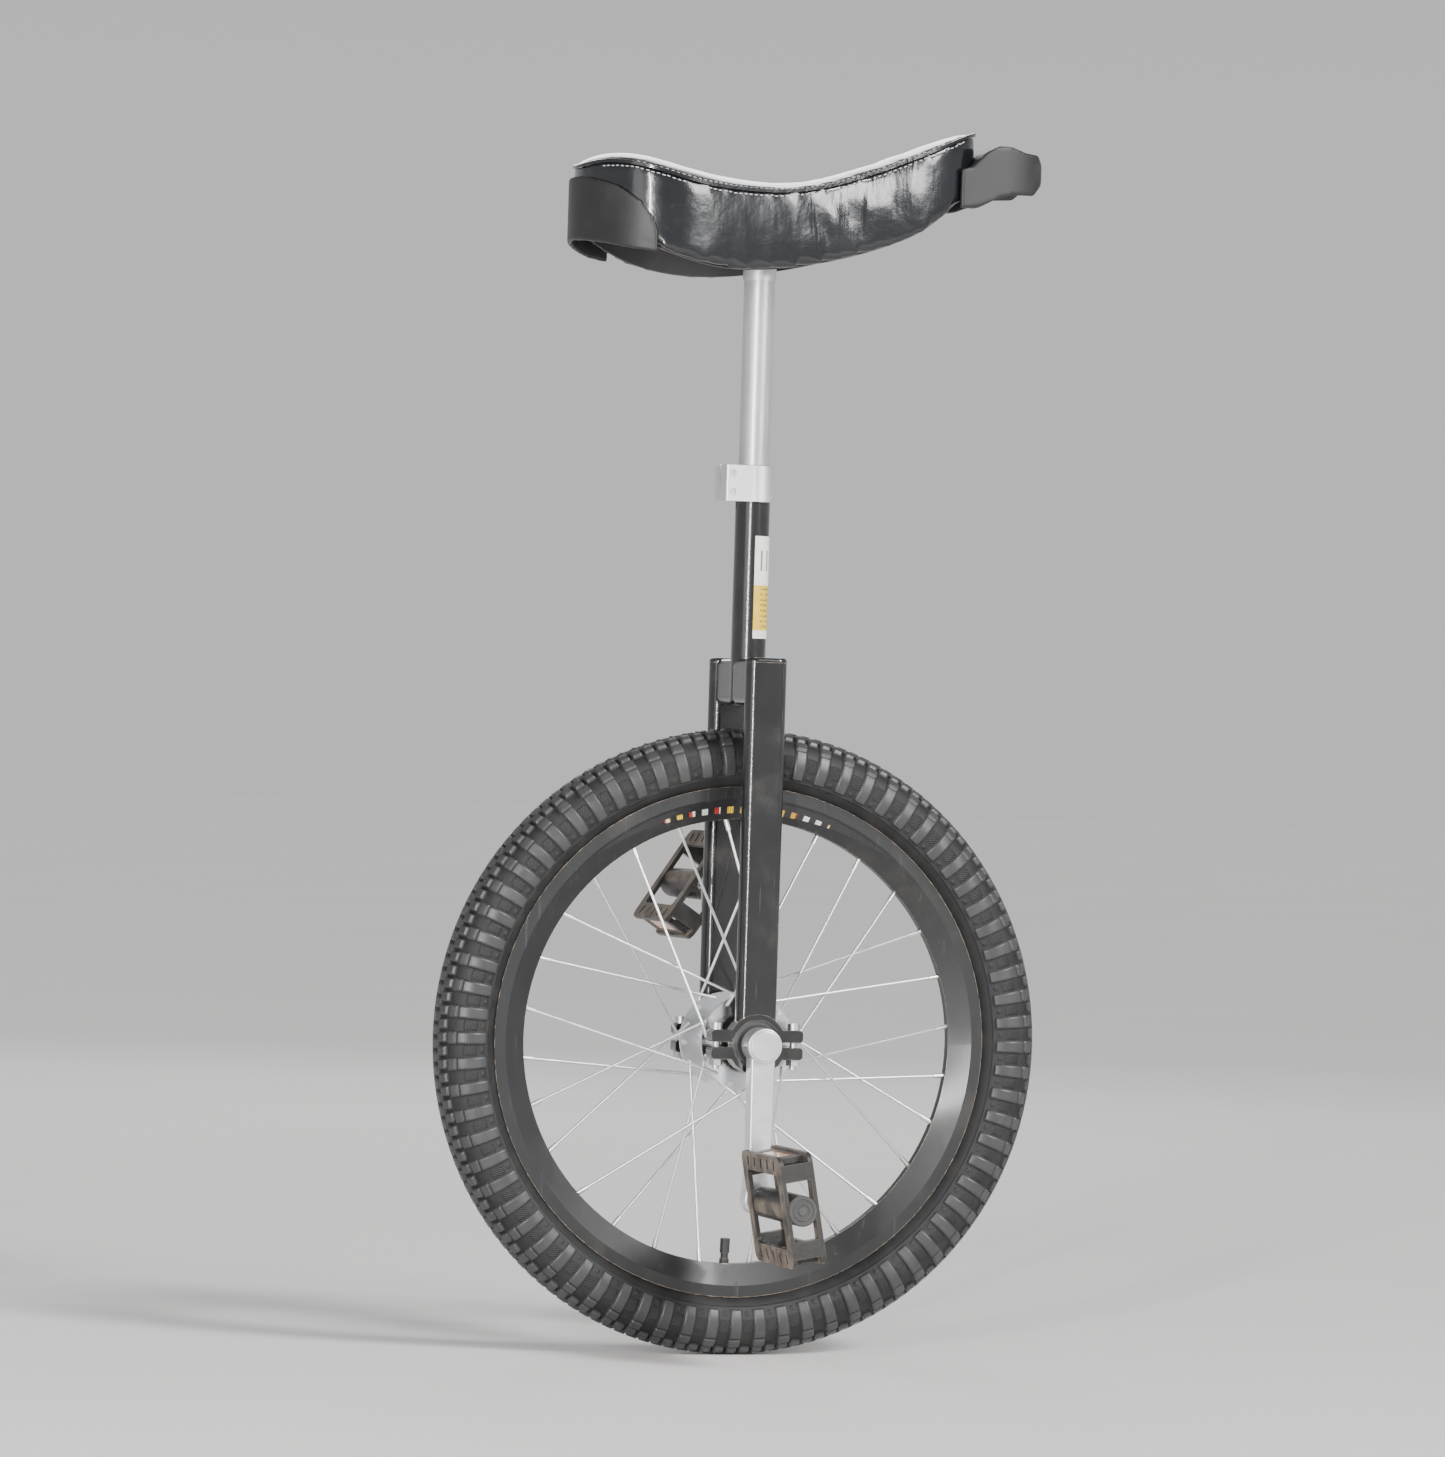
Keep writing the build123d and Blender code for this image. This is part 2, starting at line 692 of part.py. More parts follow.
def make_pedal_balls(side):
    balls = []
    for start, step in pedal_cup_starts(side):
        y = start + step * (pedal_cup_depth - pedal_cup_wall - pedal_ball_r - running_gap)
        for number in range(pedal_ball_count):
            centre = on_wheel(pedal_ball_circle_r(), number * 360 / pedal_ball_count, y)
            balls.append(at_pedal(side, Pos(*centre) * Sphere(pedal_ball_r)))
    return balls


def make_pedal_spindle(side):
    """Screwed into the crank's eye; its inner cone and its stem turn with the crank."""
    flange_start = crank_arm_y + crank_arm_thickness
    flange_end = flange_start + pedal_flange_width
    cup_middle = pedal_inner_y + 2.0
    spindle = y_rod(pedal_thread_r, side * crank_arm_y, side * flange_start)
    spindle += y_rod(pedal_flange_r, side * flange_start, side * flange_end)
    spindle += y_rod(pedal_thread_r - 0.6, side * flange_end, side * cup_middle)
    spindle += y_rod(pedal_spindle_r, side * cup_middle, side * (pedal_outer_y - end_cap_height - 0.6))
    ring_r = pedal_ball_circle_r() - pedal_ball_r - running_gap
    spindle &= Pos(0, side * 120, 0) * Box(40, 200, 40)
    return at_pedal(side, spindle - trim_ring(side, ring_r))


def trim_ring(side, ring_r):
    """Takes the stem down to the balls' running surface where the balls sit."""
    rings = []
    for start, step in pedal_cup_starts(side):
        end = start + step * pedal_cup_depth
        outer = y_rod(pedal_cup_r + 3, start + step * 2.5, end)
        rings.append(outer - y_rod(min(ring_r, pedal_spindle_r), start, end))
    return rings


def make_pedal_locknut(side):
    """The nut on the spindle's outer end, inside the end cap."""
    end = side * (pedal_outer_y - end_cap_height - 0.3)
    start = side * (pedal_outer_y - end_cap_height - 2.4)
    nut = Plane(origin=(0, start, 0), z_dir=(0, side, 0)) * extrude(
        RegularPolygon(7.4, 6, major_radius=False), abs(end - start))
    return at_pedal(side, nut - y_rod(pedal_spindle_r + weld_gap, start - side, end + side))


def make_pedal_end_cap(side):
    """A round cap with raised rings, pressed into the barrel's outer end."""
    start = side * (pedal_outer_y - end_cap_height + 0.1)
    end = side * (pedal_outer_y + 0.6)
    cap = y_rod(end_cap_r, start, end)
    for outer, inner in ((9.4, 7.6), (5.6, 3.8)):
        groove = y_rod(outer, end - side * 0.6, end + side) - y_rod(inner, end - side * 0.6, end + side)
        cap -= groove
    return at_pedal(side, cap)


def make_pedal_reflectors(side):
    pieces = []
    middle = side * (pedal_inner_y + pedal_outer_y) / 2
    half = reflector_length / 2
    reach = pedal_half_length - 2.0
    for end in (-1, 1):
        pieces.append(at_pedal(side, block(
            end * (reach - reflector_thickness), end * (reach - 0.4), middle - half, middle + half,
            -reflector_height / 2, reflector_height / 2)))
    return pieces


# ---------------------------------------------------------------- frame

def leg_section(inset):
    width = leg_width - 2 * inset
    return SlotOverall(leg_depth - 2 * inset, width)


def leg_tube_top_z():
    return leg_top_z - leg_cap_height


def make_fork_leg(side):
    """A flat oval tube, coped at the bottom to sit on the ring of its bearing holder."""
    start = tyre_r
    height = leg_tube_top_z() - start
    leg = extrude(leg_section(0), height) - extrude(leg_section(leg_wall), height)
    leg = Pos(0, side * bearing_y, start) * leg
    return leg - at_axle(y_rod(holder_r + weld_gap, side * (bearing_y - leg_width),
                               side * (bearing_y + leg_width))) - at_axle(
        block(-ear_reach, ear_reach, side * (bearing_y - leg_width), side * (bearing_y + leg_width),
              -1, holder_gap / 2 + ear_thickness + weld_gap))


def make_leg_cap(side):
    """A domed lid welded to the top of a leg, with a spigot that locates it."""
    lid = extrude(leg_section(0), leg_cap_height)
    lid = fillet(lid.edges().group_by(Axis.Z)[-1], 3.0)
    spigot = Pos(0, 0, -4) * extrude(leg_section(leg_wall + weld_gap), 4)
    return Pos(0, side * bearing_y, leg_tube_top_z()) * (lid + spigot)


def make_crown_tube(side):
    """A square tube that ties a leg to the seat tube, coped around the seat tube."""
    reach = bearing_y - leg_width / 2
    start = Plane(origin=(0, 0, leg_top_z - crown_height / 2 - 1), z_dir=(0, side, 0), x_dir=(1, 0, 0))
    outer = RectangleRounded(crown_depth, crown_height, 6.0)
    inner = RectangleRounded(crown_depth - 2 * crown_wall, crown_height - 2 * crown_wall, 4.0)
    tube = start * (extrude(outer, reach) - extrude(inner, reach))
    return tube - z_rod(seat_tube_r + weld_gap, seat_tube_bottom_z - 20, leg_top_z + 20)


def make_seat_tube():
    tube = z_rod(seat_tube_r, seat_tube_bottom_z, seat_tube_top_z)
    tube -= z_rod(post_r + running_gap, seat_tube_bottom_z - 1, seat_tube_top_z + 1)
    half = clamp_slot / 2
    return tube - block(-seat_tube_r - 1, -post_r / 2, -half, half,
                        seat_tube_top_z - tube_slot_length, seat_tube_top_z + 1)


def make_label():
    """A plain sticker wrapped part of the way around the seat tube."""
    shell = z_rod(seat_tube_r + weld_gap + label_thickness, label_bottom_z, label_top_z)
    shell -= z_rod(seat_tube_r + weld_gap, label_bottom_z, label_top_z)
    reach = 2 * seat_tube_r
    steps = 6
    corners = [(0, 0)]
    for number in range(steps + 1):
        turn = math.radians(label_start + (label_end - label_start) * number / steps)
        corners.append((reach * math.cos(turn), reach * math.sin(turn)))
    wedge = extrude(make_face(Polyline(*corners, close=True)), label_top_z)
    return shell & wedge


def make_bearing_holder(side, upper):
    """One half of the bolted ring around a bearing, with an ear at each end."""
    sign = 1 if upper else -1
    y0, y1 = side * bearing_y - holder_width / 2, side * bearing_y + holder_width / 2
    ring = y_rod(holder_r, y0, y1)
    low, high = sorted((sign * holder_gap / 2, sign * (holder_gap / 2 + ear_thickness)))
    ears = block(-ear_reach, ear_reach, y0, y1, low, high)
    ears = fillet(ears.edges().filter_by(Axis.Y), 3.0)
    half = ring & block(-holder_r, holder_r, y0, y1, sign * holder_gap / 2, sign * holder_r)
    half += ears
    half -= y_rod(bearing_r + weld_gap, y0 - 1, y1 + 1)
    for x in (-ear_bolt_x, ear_bolt_x):
        half -= z_rod(ear_bolt_r + 0.3, low - 1, high + 1, x, side * bearing_y)
    return at_axle(half)


def ear_bolt_places():
    return [(x, side * bearing_y) for side in SIDES.values() for x in (-ear_bolt_x, ear_bolt_x)]


def make_ear_bolt(x, y):
    seat = holder_gap / 2 + ear_thickness
    bolt = z_rod(ear_bolt_r, -seat - ear_nut_height - ear_bolt_tail, seat, x, y)
    head = z_rod(ear_bolt_head_r, seat, seat + ear_bolt_head_height, x, y)
    head -= hexagon(2.5, seat + ear_bolt_head_height - 3, seat + ear_bolt_head_height + 1, x, y)
    return at_axle(bolt + head)


def make_ear_nut(x, y):
    seat = holder_gap / 2 + ear_thickness
    nut = hexagon(5.0, -seat - ear_nut_height, -seat, x, y)
    return at_axle(nut - z_rod(ear_bolt_r + weld_gap, -seat - ear_nut_height - 1, -seat + 1, x, y))


# ---------------------------------------------------------------- seat clamp and post

def clamp_bolt_heights():
    middle = (clamp_bottom_z + clamp_top_z) / 2
    return [middle - clamp_bolt_spacing / 2, middle + clamp_bolt_spacing / 2]


def make_seat_clamp():
    body = z_rod(clamp_r, clamp_bottom_z, clamp_top_z)
    ears = block(-clamp_rear, 0, -clamp_half_width, clamp_half_width, clamp_bottom_z, clamp_top_z)
    ears = fillet(ears.edges().filter_by(Axis.Z).group_by(Axis.X)[0], 2.5)
    body += ears
    body = chamfer(body.faces().sort_by(Axis.Z)[-1].outer_wire().edges(), 0.6)
    body -= z_rod(seat_tube_r + weld_gap, clamp_bottom_z - 1, clamp_top_z - clamp_lip)
    body -= z_rod(post_r + 0.5, clamp_bottom_z, clamp_top_z + 1)
    half = clamp_slot / 2
    body -= block(-clamp_rear - 1, -post_r / 2, -half, half, clamp_bottom_z - 1, clamp_top_z + 1)
    depth = clamp_bolt_head_height + 0.5
    for z in clamp_bolt_heights():
        body -= y_rod(clamp_bolt_r + weld_gap, -clamp_half_width - 1, clamp_half_width + 1,
                      clamp_bolt_x, z)
        body -= y_rod(clamp_bolt_head_r + 0.3, clamp_half_width - depth, clamp_half_width + 1,
                      clamp_bolt_x, z)
    return body


def make_clamp_bolt(z):
    seat = clamp_half_width - clamp_bolt_head_height - 0.5
    bolt = y_rod(clamp_bolt_r, -clamp_half_width + 1.0, seat, clamp_bolt_x, z)
    bolt += y_rod(clamp_bolt_head_r, seat, seat + clamp_bolt_head_height, clamp_bolt_x, z)
    socket = Plane(origin=(clamp_bolt_x, seat + 3, z), z_dir=(0, 1, 0)) * extrude(
        RegularPolygon(2.5, 6, major_radius=False), clamp_bolt_head_height)
    return bolt - socket


def bracket_top_z():
    """The bracket lies under the lowest part of the saddle's base."""
    lowest = min(z for x, z in saddle_crown if abs(x) < bracket_length)
    sag = saddle_bolt_y ** 2 / (2 * crown_radius)
    return lowest - cover_thickness - foam_top - base_thickness - 2 * layer_gap - sag - bracket_drop


def post_top_z():
    return bracket_top_z() - bracket_thickness


def make_seat_post():
    top = post_top_z()
    post = z_rod(post_r, top - post_length, top)
    return post - z_rod(post_r - post_wall, top - post_length - 1, top + 1)


def make_post_bracket():
    """The plate on top of the post, with a short collar lower down on the post."""
    top = bracket_top_z()
    plate = extrude(RectangleRounded(bracket_length, bracket_width, 10.0), bracket_thickness)
    plate = Pos(0, 0, top - bracket_thickness) * plate
    for x, y in saddle_bolt_places():
        plate -= z_rod(saddle_bolt_r + 0.3, top - bracket_thickness - 1, top + 1, x, y)
    for turn in range(4):
        gusset = make_face(Polyline((post_r + weld_gap, 0), (post_r + 11, 0),
                                    (post_r + weld_gap, -22), close=True))
        gusset = extrude(Plane.XZ * gusset, 1.5, both=True)
        plate += Rot(0, 0, 90 * turn) * Pos(0, 0, top - bracket_thickness) * gusset
    return plate


def make_post_collar():
    collar = z_rod(bracket_collar_r, bracket_collar_bottom, bracket_collar_top)
    return collar - z_rod(post_r + weld_gap, bracket_collar_bottom - 1, bracket_collar_top + 1)


# ---------------------------------------------------------------- saddle

def grown_plan(grow):
    """The saddle's half plan from tail to nose, moved outward by some amount."""
    points = [(saddle_rear_x, 0.0), *saddle_plan, (saddle_front_x, 0.0)]
    moved = [(saddle_rear_x - grow, 0.0)]
    for before, (x, y), after in zip(points, points[1:], points[2:]):
        run, rise = after[0] - before[0], after[1] - before[1]
        length = math.hypot(run, rise)
        moved.append((x - grow * rise / length, y + grow * run / length))
    return [*moved, (saddle_front_x + grow, 0.0)]


def plan_prism(grow):
    """A tall prism on the saddle's plan, grown or shrunk by some amount."""
    half = grown_plan(grow)
    mirrored = [(x, -y) for x, y in half[1:-1]]
    outline = make_face(Spline(*half, *reversed(mirrored), periodic=True))
    return Pos(0, 0, 840) * extrude(outline, 200)


def crown_body(drop):
    """Everything below the saddle's crown, lowered by some amount."""
    reach = 100.0
    floor = 800.0
    sag = crown_radius - math.sqrt(crown_radius ** 2 - reach ** 2)
    sections = []
    for x, z in saddle_crown:
        top = z - drop
        plane = Plane(origin=(x, 0, 0), x_dir=(0, 1, 0), z_dir=(1, 0, 0))
        arc = ThreePointArc((-reach, top - sag), (0, top), (reach, top - sag))
        sides = Polyline((reach, top - sag), (reach, floor), (-reach, floor), (-reach, top - sag))
        sections.append(plane * make_face([arc, sides]))
    return loft(sections)


def side_prism(points, reach=120.0):
    """A prism across the saddle on a closed side view of (x, z) points."""
    face = Plane.XZ * make_face(Polyline(*points, close=True))
    return extrude(face, reach, both=True)


def below_hem(raise_by=0.0):
    """Everything below the saddle's lower edge."""
    points = [(x, z + raise_by) for x, z in saddle_hem]
    edge = Spline(*points)
    closing = Polyline(points[-1], (points[-1][0], 780), (points[0][0], 780), points[0])
    face = Plane.XZ * make_face([edge, closing])
    return extrude(face, 120.0, both=True)


def saddle_layer(side_out, side_in, top_out, top_in, hem_rise):
    """A shell between two offsets of the saddle's shape, open underneath."""
    outer = plan_prism(-side_out) & crown_body(top_out)
    inner = plan_prism(-side_in) & crown_body(top_in)
    return outer - inner - below_hem(hem_rise)


def make_cover():
    return saddle_layer(0.0, cover_thickness, 0.0, cover_thickness, 0.0)


def make_foam():
    start = cover_thickness + layer_gap
    return saddle_layer(start, start + foam_side, start, start + foam_top, 1.5)


def base_depths():
    """How far the base lies inside the cover's sides and under its crown."""
    start = cover_thickness + 2 * layer_gap
    return start + foam_side, start + foam_top


def make_base():
    side_depth, top_depth = base_depths()
    base = saddle_layer(side_depth, side_depth + base_thickness, top_depth,
                        top_depth + base_thickness, 1.5)
    for x, y in saddle_bolt_places():
        base -= z_rod(saddle_bolt_r + weld_gap, 900, 990, x, y)
    return base


def make_piping():
    """A thin bead along the seam between the top panel and the side panels."""
    ring = plan_prism(piping_r) - plan_prism(layer_gap)
    band = crown_body(-piping_r / 2) - crown_body(1.5 * piping_r)
    return ring & band


def make_rear_bumper():
    """A cup around the rear of the saddle, open above and below."""
    ring = plan_prism(bumper_wall + layer_gap) - plan_prism(layer_gap)
    view = [(-190, 962), (-158, 958), (-141, 950), (-125, 938), (-114, 924), (bumper_front_x, 912),
            (bumper_front_x, 896), (-128, 898), (-190, 914)]
    return ring & side_prism(view)


def handle_prism(inset):
    nose = (handle_front_x - inset, 0)
    half = [(x - (inset if x > handle_web_x else 0), y - inset) for x, y in handle_plan]
    left = Spline(*half, nose, tangents=((1, 0), (0, -1)))
    right = Spline(*[(x, -y) for x, y in half], nose, tangents=((1, 0), (0, 1)))
    back = Line(half[0], (half[0][0], -half[0][1]))
    return Pos(0, 0, 900) * extrude(make_face([left, right, back]), 150)


def make_front_handle():
    """A grip around the saddle's nose, with a finger hollow that opens downward."""
    body = handle_prism(0) & side_prism(handle_profile)
    front_x = handle_front_x - handle_wall
    hollow_view = [(handle_web_x, 900), (front_x - 1, 900), (front_x - 1, 975), (226, 989),
                   (205, 994), (handle_web_x, 993)]
    hollow = handle_prism(handle_wall) & side_prism(hollow_view)
    return body - hollow - (plan_prism(layer_gap) & crown_body(-5))


def saddle_bolt_places():
    return [(x, y) for x in (-saddle_bolt_x, saddle_bolt_x) for y in (-saddle_bolt_y, saddle_bolt_y)]


def make_saddle_bolt(x, y):
    """A stud moulded into the base, passing down through the bracket."""
    bottom = post_top_z() - saddle_nut_height - saddle_washer_thickness - 4
    top = bracket_top_z() + bracket_drop + base_thickness
    return z_rod(saddle_bolt_r, bottom, top, x, y)


def make_saddle_nut(x, y):
    top = post_top_z() - saddle_washer_thickness
    nut = hexagon(saddle_nut_r, top - saddle_nut_height, top, x, y)
    return nut - z_rod(saddle_bolt_r + weld_gap, top - saddle_nut_height - 1, top + 1, x, y)


def make_saddle_washer(x, y):
    top = post_top_z()
    washer = z_rod(saddle_washer_r, top - saddle_washer_thickness, top, x, y)
    return washer - z_rod(saddle_bolt_r + 0.3, top - 10, top + 1, x, y)


# ---------------------------------------------------------------- output

def write_wheel():
    save("tyre", make_tyre())
    save("inner_tube", make_inner_tube())
    save("rim_strip", make_rim_strip())
    save("rim", make_rim())
    for name, side in SIDES.items():
        chosen = [index for index in range(spoke_count) if spoke_ends(index)[0] == side]
        save(f"spokes_{name}", *[make_spoke(index) for index in chosen])
    save("spoke_nipples", *[make_nipple(index) for index in range(spoke_count)])
    save("hub_shell", make_hub_shell())
    save("hub_axle", make_hub_axle())
    save("valve_stem", make_valve_stem())
    save("valve_cap", make_valve_cap())
    sides = SIDES.values()
    save("rim_decals", *[make_rim_decal(side) for side in sides])
    save("bearing_inner_races", *[make_inner_race(side) for side in sides])
    save("bearing_balls", *[ball for side in sides for ball in make_balls(side)])
    save("bearing_cages", *[make_cage(side) for side in sides])
    save("axle_spacers", *[make_axle_spacer(side) for side in sides])
    save("crank_bolts", *[make_crank_bolt(side) for side in sides])
    save("crank_dust_caps", *[make_dust_cap(side) for side in sides])
    save("pedal_spindles", *[make_pedal_spindle(side) for side in sides])
    save("pedal_locknuts", *[make_pedal_locknut(side) for side in sides])
    for name, side in SIDES.items():
        save(f"crank_{name}", make_crank(side))


def write_pedals():
    for name, side in SIDES.items():
        save(f"pedal_body_{name}", make_pedal_body(side))
        save(f"pedal_cups_{name}", *make_pedal_cups(side))
        save(f"pedal_balls_{name}", *make_pedal_balls(side))
        save(f"pedal_end_cap_{name}", make_pedal_end_cap(side))
        save(f"pedal_reflectors_{name}", *make_pedal_reflectors(side))


def write_frame():
    for name, side in SIDES.items():
        save(f"fork_leg_{name}", make_fork_leg(side))
        save(f"bearing_holder_{name}", make_bearing_holder(side, True))
        save(f"bearing_clamp_{name}", make_bearing_holder(side, False))
    sides = SIDES.values()
    save("leg_caps", *[make_leg_cap(side) for side in sides])
    save("crown_tubes", *[make_crown_tube(side) for side in sides])
    save("bearing_outer_races", *[make_outer_race(side) for side in sides])
    save("bearing_shields", *[shield for side in sides for shield in make_shields(side)])
    save("bearing_holder_bolts", *[make_ear_bolt(x, y) for x, y in ear_bolt_places()])
    save("bearing_holder_nuts", *[make_ear_nut(x, y) for x, y in ear_bolt_places()])
    save("seat_tube", make_seat_tube())
    save("seat_tube_label", make_label())
    save("seat_clamp", make_seat_clamp())
    save("seat_clamp_bolts", *[make_clamp_bolt(z) for z in clamp_bolt_heights()])


def write_seat():
    lift = Pos(0, 0, saddle_lift)
    save("seat_post", lift * make_seat_post())
    save("post_bracket", lift * make_post_bracket())
    save("post_collar", lift * make_post_collar())
    save("saddle_cover", lift * make_cover())
    save("saddle_foam", lift * make_foam())
    save("saddle_base", lift * make_base())
    save("saddle_piping", lift * make_piping())
    save("rear_bumper", lift * make_rear_bumper())
    save("front_handle", lift * make_front_handle())
    places = saddle_bolt_places()
    save("saddle_bolts", *[lift * make_saddle_bolt(x, y) for x, y in places])
    save("saddle_nuts", *[lift * make_saddle_nut(x, y) for x, y in places])
    save("saddle_washers", *[lift * make_saddle_washer(x, y) for x, y in places])


os.makedirs("parts", exist_ok=True)
write_wheel()
write_pedals()
write_frame()
write_seat()
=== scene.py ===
import math

import bmesh
import bpy
import numpy as np
from mathutils import Matrix, Vector, kdtree, noise
from mathutils.bvhtree import BVHTree


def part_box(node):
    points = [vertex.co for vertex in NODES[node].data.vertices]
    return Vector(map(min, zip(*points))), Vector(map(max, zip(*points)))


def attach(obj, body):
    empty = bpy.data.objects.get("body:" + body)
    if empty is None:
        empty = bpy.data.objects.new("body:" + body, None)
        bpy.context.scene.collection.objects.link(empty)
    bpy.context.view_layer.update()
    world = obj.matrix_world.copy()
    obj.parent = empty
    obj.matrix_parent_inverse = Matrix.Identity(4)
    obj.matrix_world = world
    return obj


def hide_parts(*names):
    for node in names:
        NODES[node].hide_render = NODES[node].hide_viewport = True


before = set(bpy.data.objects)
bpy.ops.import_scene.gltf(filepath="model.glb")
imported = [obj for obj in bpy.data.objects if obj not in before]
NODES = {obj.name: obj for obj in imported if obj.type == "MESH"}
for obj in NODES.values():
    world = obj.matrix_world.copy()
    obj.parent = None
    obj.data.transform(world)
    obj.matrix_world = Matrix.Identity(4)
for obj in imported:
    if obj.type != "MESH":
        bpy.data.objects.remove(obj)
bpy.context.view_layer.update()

bl_info = {
    "name": "Learner's Unicycle",
    "version": (1, 0, 0),
    "blender": (4, 5, 0),
    "location": "View3D > Sidebar > Unicycle",
    "description": "Finishes, tyre tread, padded saddle and a plain studio for a unicycle",
    "category": "Object",
}

AXLE_Z = sum(c.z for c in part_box("hub_axle")) / 2
TYRE_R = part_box("tyre")[1].z - AXLE_Z
RIM_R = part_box("rim")[1].z - AXLE_Z
RIM_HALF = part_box("rim")[1].y
POST_R = 0.0127
KNURL_STARTS = 34.0         # grooves of the knurl round the post, each way
PEDAL_TILTS = {"right": math.radians(100.3), "left": math.radians(56.0)}

TREAD_SECTION = 0.027       # section radius at the top of the blocks
PITCHES = 72                # tread pitches round the tyre
STEPS = 20                  # points along one pitch

# Tread in bands: angle from the crown in degrees, where it stands within its pitch, height in mm
TREAD_BANDS = (
    (0, 12, ((0.10, 0.40), (0.60, 0.90)), 3.4),
    (17, 34, ((0.00, 0.15), (0.35, 0.65), (0.85, 1.00)), 3.3),
    (40, 57, ((0.00, 0.22), (0.78, 1.00)), 3.0),
    (59, 116, ((0.00, 0.22), (0.78, 1.00)), 2.0),
    (71, 97, ((0.32, 0.68),), 0.55),
    (106, 113, ((0.42, 0.58),), 0.7),
    (121, 124, ((0.00, 1.00),), 0.5),
)
RIBS_PER_PITCH = 9.0        # fine ribs on the tyre's sides between the blocks
BEAD_INSET = 0.0024         # from the rim's side to the outside of the tyre's bead
BEAD_DEPTH = 0.0063         # from the rim's edge in to the end of the bead

PUFF_FRAMES = 20            # frames of the cloth simulation
SEAM_HELD = 0.0035          # points of the cushion this near the piping stay in place
SEAM_EASED = 0.008          # and out to here they give way in part
HEM_STEP = 0.008            # length of the slices in which the hem's height is found
CREASE_X = 0.062            # the creases are deepest here
CREASE_REACH = 0.045
CREASE_HEIGHT = 0.0011
GUARD_VOXEL = 0.0013
GUARD_ROUNDS = 8

CAMERA_AT = (-1.6030, -5.0948, 0.5059)
CAMERA_AIM = (0.2967061, 0.95496781, 0.00140562)
FLOOR_RINGS = (0.5, 2.0, 8.0, 40.0)
FLOOR_SIDES = 64
LIGHT_TARGET = (0.0, 0.0, 0.55)
AREA_LIGHTS = {             # place, then width and height
    "key": ((2.3, -3.8, 2.1), (1.1, 1.3)),
    "fill": ((-3.4, -2.8, 1.5), (1.4, 2.0)),
    "back": ((0.8, 4.0, 2.4), (1.6, 1.6)),
    "strip": ((-1.9, -3.2, 0.8), (0.05, 2.2)),
}
DAYLIGHT_AIM = (-0.45, 0.62, -0.62)
SKY_SHADES = ((0.10, 0.80), (0.45, 0.42))   # height in the sky and grey there


# ------------------------------------------------------------------ shader maths

class Signal:
    """A value, colour or vector that varies over a surface: one output of a node."""

    def __init__(self, nodes, socket):
        self.nodes, self.socket = nodes, socket

    def maths(self, operation, *values):
        return self.nodes.node("ShaderNodeMath", {"operation": operation}, dict(enumerate(values)))

    def __add__(self, other): return self.maths("ADD", self, other)
    def __sub__(self, other): return self.maths("SUBTRACT", self, other)
    def __mul__(self, other): return self.maths("MULTIPLY", self, other)
    def __truediv__(self, other): return self.maths("DIVIDE", self, other)
    def __pow__(self, other): return self.maths("POWER", self, other)
    def __gt__(self, other): return self.maths("GREATER_THAN", self, other)
    def __lt__(self, other): return self.maths("LESS_THAN", self, other)
    def __rsub__(self, other): return self.maths("SUBTRACT", other, self)
    def __abs__(self): return self.maths("ABSOLUTE", self)
    __radd__, __rmul__ = __add__, __mul__

    def sine(self): return self.maths("SINE", self)

    def fade(self, start, end):
        """0 before start, 1 after end, and a smooth change between them."""
        return self.nodes.node(
            "ShaderNodeMapRange", {"interpolation_type": "SMOOTHSTEP"},
            {"Value": self, "From Min": start, "From Max": end})

    def within(self, low, high):
        return (self > low) * (self < high)


class Nodes:
    """A node tree that is being filled."""

    def __init__(self, tree):
        self.tree = tree

    def node(self, kind, settings=None, inputs=None, output=0):
        """Adds a node: first its settings, then the values or links of its sockets.

        Returns the output that is asked for, or all of them for None."""
        made = self.tree.nodes.new(kind)
        for key, value in (settings or {}).items():
            if key == "stops":
                for stop, (at, colour) in zip(made.color_ramp.elements, value):
                    stop.position, stop.color = at, (*colour, 1.0)
            else:
                setattr(made, key, value)
        for key, value in (inputs or {}).items():
            self.feed(made.inputs[key], value)
        if output is None:
            return [Signal(self, socket) for socket in made.outputs]
        return Signal(self, made.outputs[output])

    def feed(self, socket, value):
        """Links a signal to a socket, or sets the socket's own value."""
        if isinstance(value, Signal):
            self.tree.links.new(value.socket, socket)
        elif isinstance(value, tuple) and len(socket.default_value) == 4:
            socket.default_value = (*value, 1.0)
        else:
            socket.default_value = value


